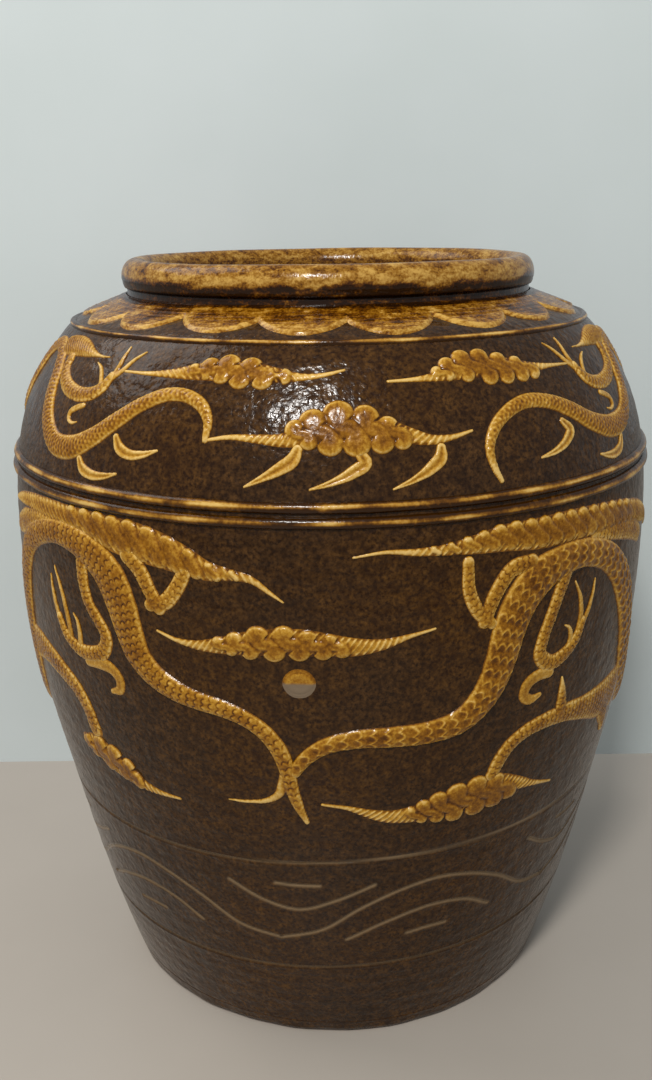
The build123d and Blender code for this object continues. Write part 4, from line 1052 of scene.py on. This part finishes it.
for side, name, pattern, body, crest, coils, root, under, knees, leg, claws, spur, hind in (
    (LEFT, "lower_left", "scales", BODY_LL, CREST_LL, (42, 196, 10), ROOT_LL, UNDER_LL,
     KNEES_LL, LEG_LL, CLAWS_LL, SPUR_LL, HIND_LL),
    (RIGHT, "lower_right", "rows", BODY_LR, CREST_LR, (62, 282, 16), ROOT_LR, UNDER_LR,
     KNEES_LR, LEG_LR, CLAWS_LR, SPUR_LR, HIND_LR),
):
    strokes = [drawn(body, side, LOWER, 36, 6, kind=pattern, size=6.4, power=3.0)]
    if side == LEFT:
        strokes.append(drawn(TAIL_LL, side, LOWER, 36, 3))
    dragon_piece(name, "body", strokes)
    base = combed(crest, side, LOWER, 32, 2.8, 0.9, 6.2)
    strokes = [base] + coils_along(base, *coils, side, 2.9)
    strokes.append(combed(root, side, LOWER, 30, 3.0, 0.8, 6.4))
    strokes.append(drawn(under, side, LOWER, 30, 2.8, kind="scales", size=6.0))
    dragon_piece(name, "crest", strokes)
    dragon_piece(name, "knee", strokes_of(knees, side, LOWER, 16, 3.6, kind="scales", size=5.2))
    dragon_piece(name, "leg", [drawn(leg, side, LOWER, 15.5, 3.6, kind="scales", size=5.2)])
    strokes = strokes_of(claws, side, LOWER, 7.4, 2.4, kind="hollow", depth=0.4)
    dragon_piece(name, "claws", strokes, FINE_CELL, CLAW_CONTRAST)
    strokes = [drawn(spur, side, LOWER, 12, 2.6, kind="hollow", depth=0.6)]
    dragon_piece(name, "spur", strokes, FINE_CELL, CLAW_CONTRAST)
    dragon_piece(name, "hind_leg", strokes_of(hind, side, LOWER, 17, 3.6, kind="scales", size=5.6))
    strokes = strokes_of((LOWER_SKULL, LOWER_JAW, LOWER_HORN), side, LOWER, 36, 6)
    dragon_piece(name, "head", strokes + head_trim(side, LOWER, 630, 83.2))

# The clouds: a combed base that tapers at both ends, and coils across its middle
for name, path, coils, side, turn, band, width, fat in (
    ("upper_left", CLOUD_UL, COILS_UL, LEFT, 0, UPPER, 26, 1.05),
    ("upper_right", CLOUD_UR, COILS_UR, RIGHT, 0, UPPER, 26, 1.05),
    ("upper_centre", CLOUD_UC, COILS_UC, RIGHT, 0, UPPER, 34, 1.05),
    ("lower_centre", CLOUD_LC, COILS_LC, RIGHT, 0, LOWER, 32, 1.0),
    ("lower_left", CLOUD_LL, COILS_LL, LEFT, 0, LOWER, 40, 1.3),
    ("lower_right", CLOUD_LR, COILS_LR, RIGHT, 0, LOWER, 38, 1.25),
    ("upper_back", CLOUD_BACK, COILS_BACK, RIGHT, 180, UPPER, 24, 1.0),
    ("lower_back", CLOUD_BACK, COILS_BACK, RIGHT, 180, LOWER, 32, 1.0),
):
    rows = [(a, s, 100 * (w / 100) ** 0.75) for a, s, w in path]
    base = combed(rows, side, band, width * 0.7, 2.3, 0.8, 5.2, turn)
    slip_piece("cloud_" + name, [base] + coils_from(coils, side, band, 3.1, turn, fat), CLOUD_CELL)

strokes = strokes_of(CENTRE_LICKS, RIGHT, UPPER, 11, 2.4, kind="hollow", depth=0.9, power=4.0)
slip_piece("centre_licks", strokes, FINE_CELL, LICK_CONTRAST)


# A round pat of slip
def pat_piece(node, angle, share, band, wide, tall, rise, dish, material=SLIP):
    middle, run = math.radians(angle), run_in(band, share)

    def height(theta, m):
        rho = np.hypot((theta - middle) * radius_of(run) / wide, (m - run) / tall)
        return rise * (1 - rho**3) - dish * np.exp(-((rho / 0.62) ** 4))
    angles = middle + np.array([-0.002, 0, 0.002])
    spot = Stroke(angles, np.full(3, run), np.full(3, max(wide, tall)), np.full(3, -0.9), 2)
    slip_piece(node, [spot], PAT_CELL, PAT_CONTRAST, material, height)


# The seal dab: amber slip above, and below its middle a painted reflection of the floor in pale grey
DAB = slip_glaze("dab_slip", *AMBER, height_in(LOWER, 0.58) * MM)
pat_piece("seal_dab", -5, 0.58, LOWER, 12, 9.5, 1.5, 1.0, DAB)
pat_piece("upper_pearl", 180, 0.55, UPPER, 11.2, 11.2, 6.6, 0)
pat_piece("lower_pearl", 180, 0.55, LOWER, 11.2, 11.2, 6.6, 0)


# The floor and the wall behind, plain and pale
def stage_plane(name, corners, dark, pale, roughness):
    mesh = bpy.data.meshes.new(name)
    mesh.from_pydata(corners, [], [(0, 1, 2, 3)])
    obj = bpy.data.objects.new(name, mesh)
    bpy.context.scene.collection.objects.link(obj)
    s = Shader(name + "_paint", roughness)
    s.finish(s.mix(s.span(s.noise(3, 4), 0.3, 0.7), srgb(*dark), srgb(*pale)))
    mesh.materials.append(s.mat)
    return obj, s


# Metres from here on
SIDE, WALL_Y, WALL_TOP = 6, 0.312, 5
stage_plane(
    "floor", [(-SIDE, -SIDE, 0), (SIDE, -SIDE, 0), (SIDE, SIDE, 0), (-SIDE, SIDE, 0)],
    (180, 171, 160), (186, 177, 166), 0.45,
)
backdrop, paint = stage_plane(
    "backdrop", [(-SIDE, WALL_Y, 0), (SIDE, WALL_Y, 0), (SIDE, WALL_Y, WALL_TOP), (-SIDE, WALL_Y, WALL_TOP)],
    (209, 218, 218), (216, 224, 225), 0.8,
)
# The wall is see-through from behind, and only the camera sees it
backdrop.visible_shadow = False
backdrop.visible_diffuse = False
backdrop.visible_glossy = False
choose = paint.node("MixShader")
paint.feed(choose.inputs[0], paint.node("NewGeometry").outputs["Backfacing"])
paint.feed(choose.inputs[1], paint.bsdf.outputs[0])
paint.feed(choose.inputs[2], paint.node("BsdfTransparent").outputs[0])
output = next(n for n in paint.tree.nodes if n.type == "OUTPUT_MATERIAL")
paint.feed(output.inputs["Surface"], choose.outputs[0])

world = bpy.data.worlds.new("world")
bpy.context.scene.world = world
world.use_nodes = True
sky = world.node_tree.nodes["Background"]
sky.inputs["Color"].default_value = srgb(206, 212, 214)
sky.inputs["Strength"].default_value = 0.62


def area_lamp(name, place, target, size, power):
    lamp = bpy.data.lights.new(name, "AREA")
    lamp.shape = "SQUARE"
    lamp.size = size
    lamp.energy = power
    lamp.color = (1.0, 0.98, 0.95)
    obj = bpy.data.objects.new(name, lamp)
    bpy.context.scene.collection.objects.link(obj)
    obj.location = place
    obj.rotation_mode = "QUATERNION"
    obj.rotation_quaternion = (Vector(target) - Vector(place)).to_track_quat("-Z", "Y")


area_lamp("window", (-0.36, -1.9, 2.38), (0, 0, 0.5), 0.38, 48)
area_lamp("ceiling", (-1.5, 0.3, 2.2), (0, 0, 0.2), 1.4, 16)

# The camera stands where the photograph was taken. Its lens and shifts are in the photograph's pixels.
PHOTO_HEIGHT, FOCAL, SHIFT_X, SHIFT_Y = 1080, 1096.6, -5.51, 3.62
PITCH, ROLL = 17.095, -0.75
camera = bpy.data.cameras.new("camera")
camera.sensor_width = 36.0
camera.lens = FOCAL / PHOTO_HEIGHT * camera.sensor_width
camera.shift_x = SHIFT_X / PHOTO_HEIGHT
camera.shift_y = SHIFT_Y / PHOTO_HEIGHT
eye = bpy.data.objects.new("camera", camera)
bpy.context.scene.collection.objects.link(eye)
eye.location = (0, -1.0525, 0.7295)
turn = Matrix.Rotation(math.radians(90 - PITCH), 4, "X") @ Matrix.Rotation(math.radians(ROLL), 4, "Z")
eye.rotation_mode = "QUATERNION"
eye.rotation_quaternion = turn.to_quaternion()
bpy.context.scene.camera = eye
bpy.context.scene.view_settings.view_transform = "Standard"
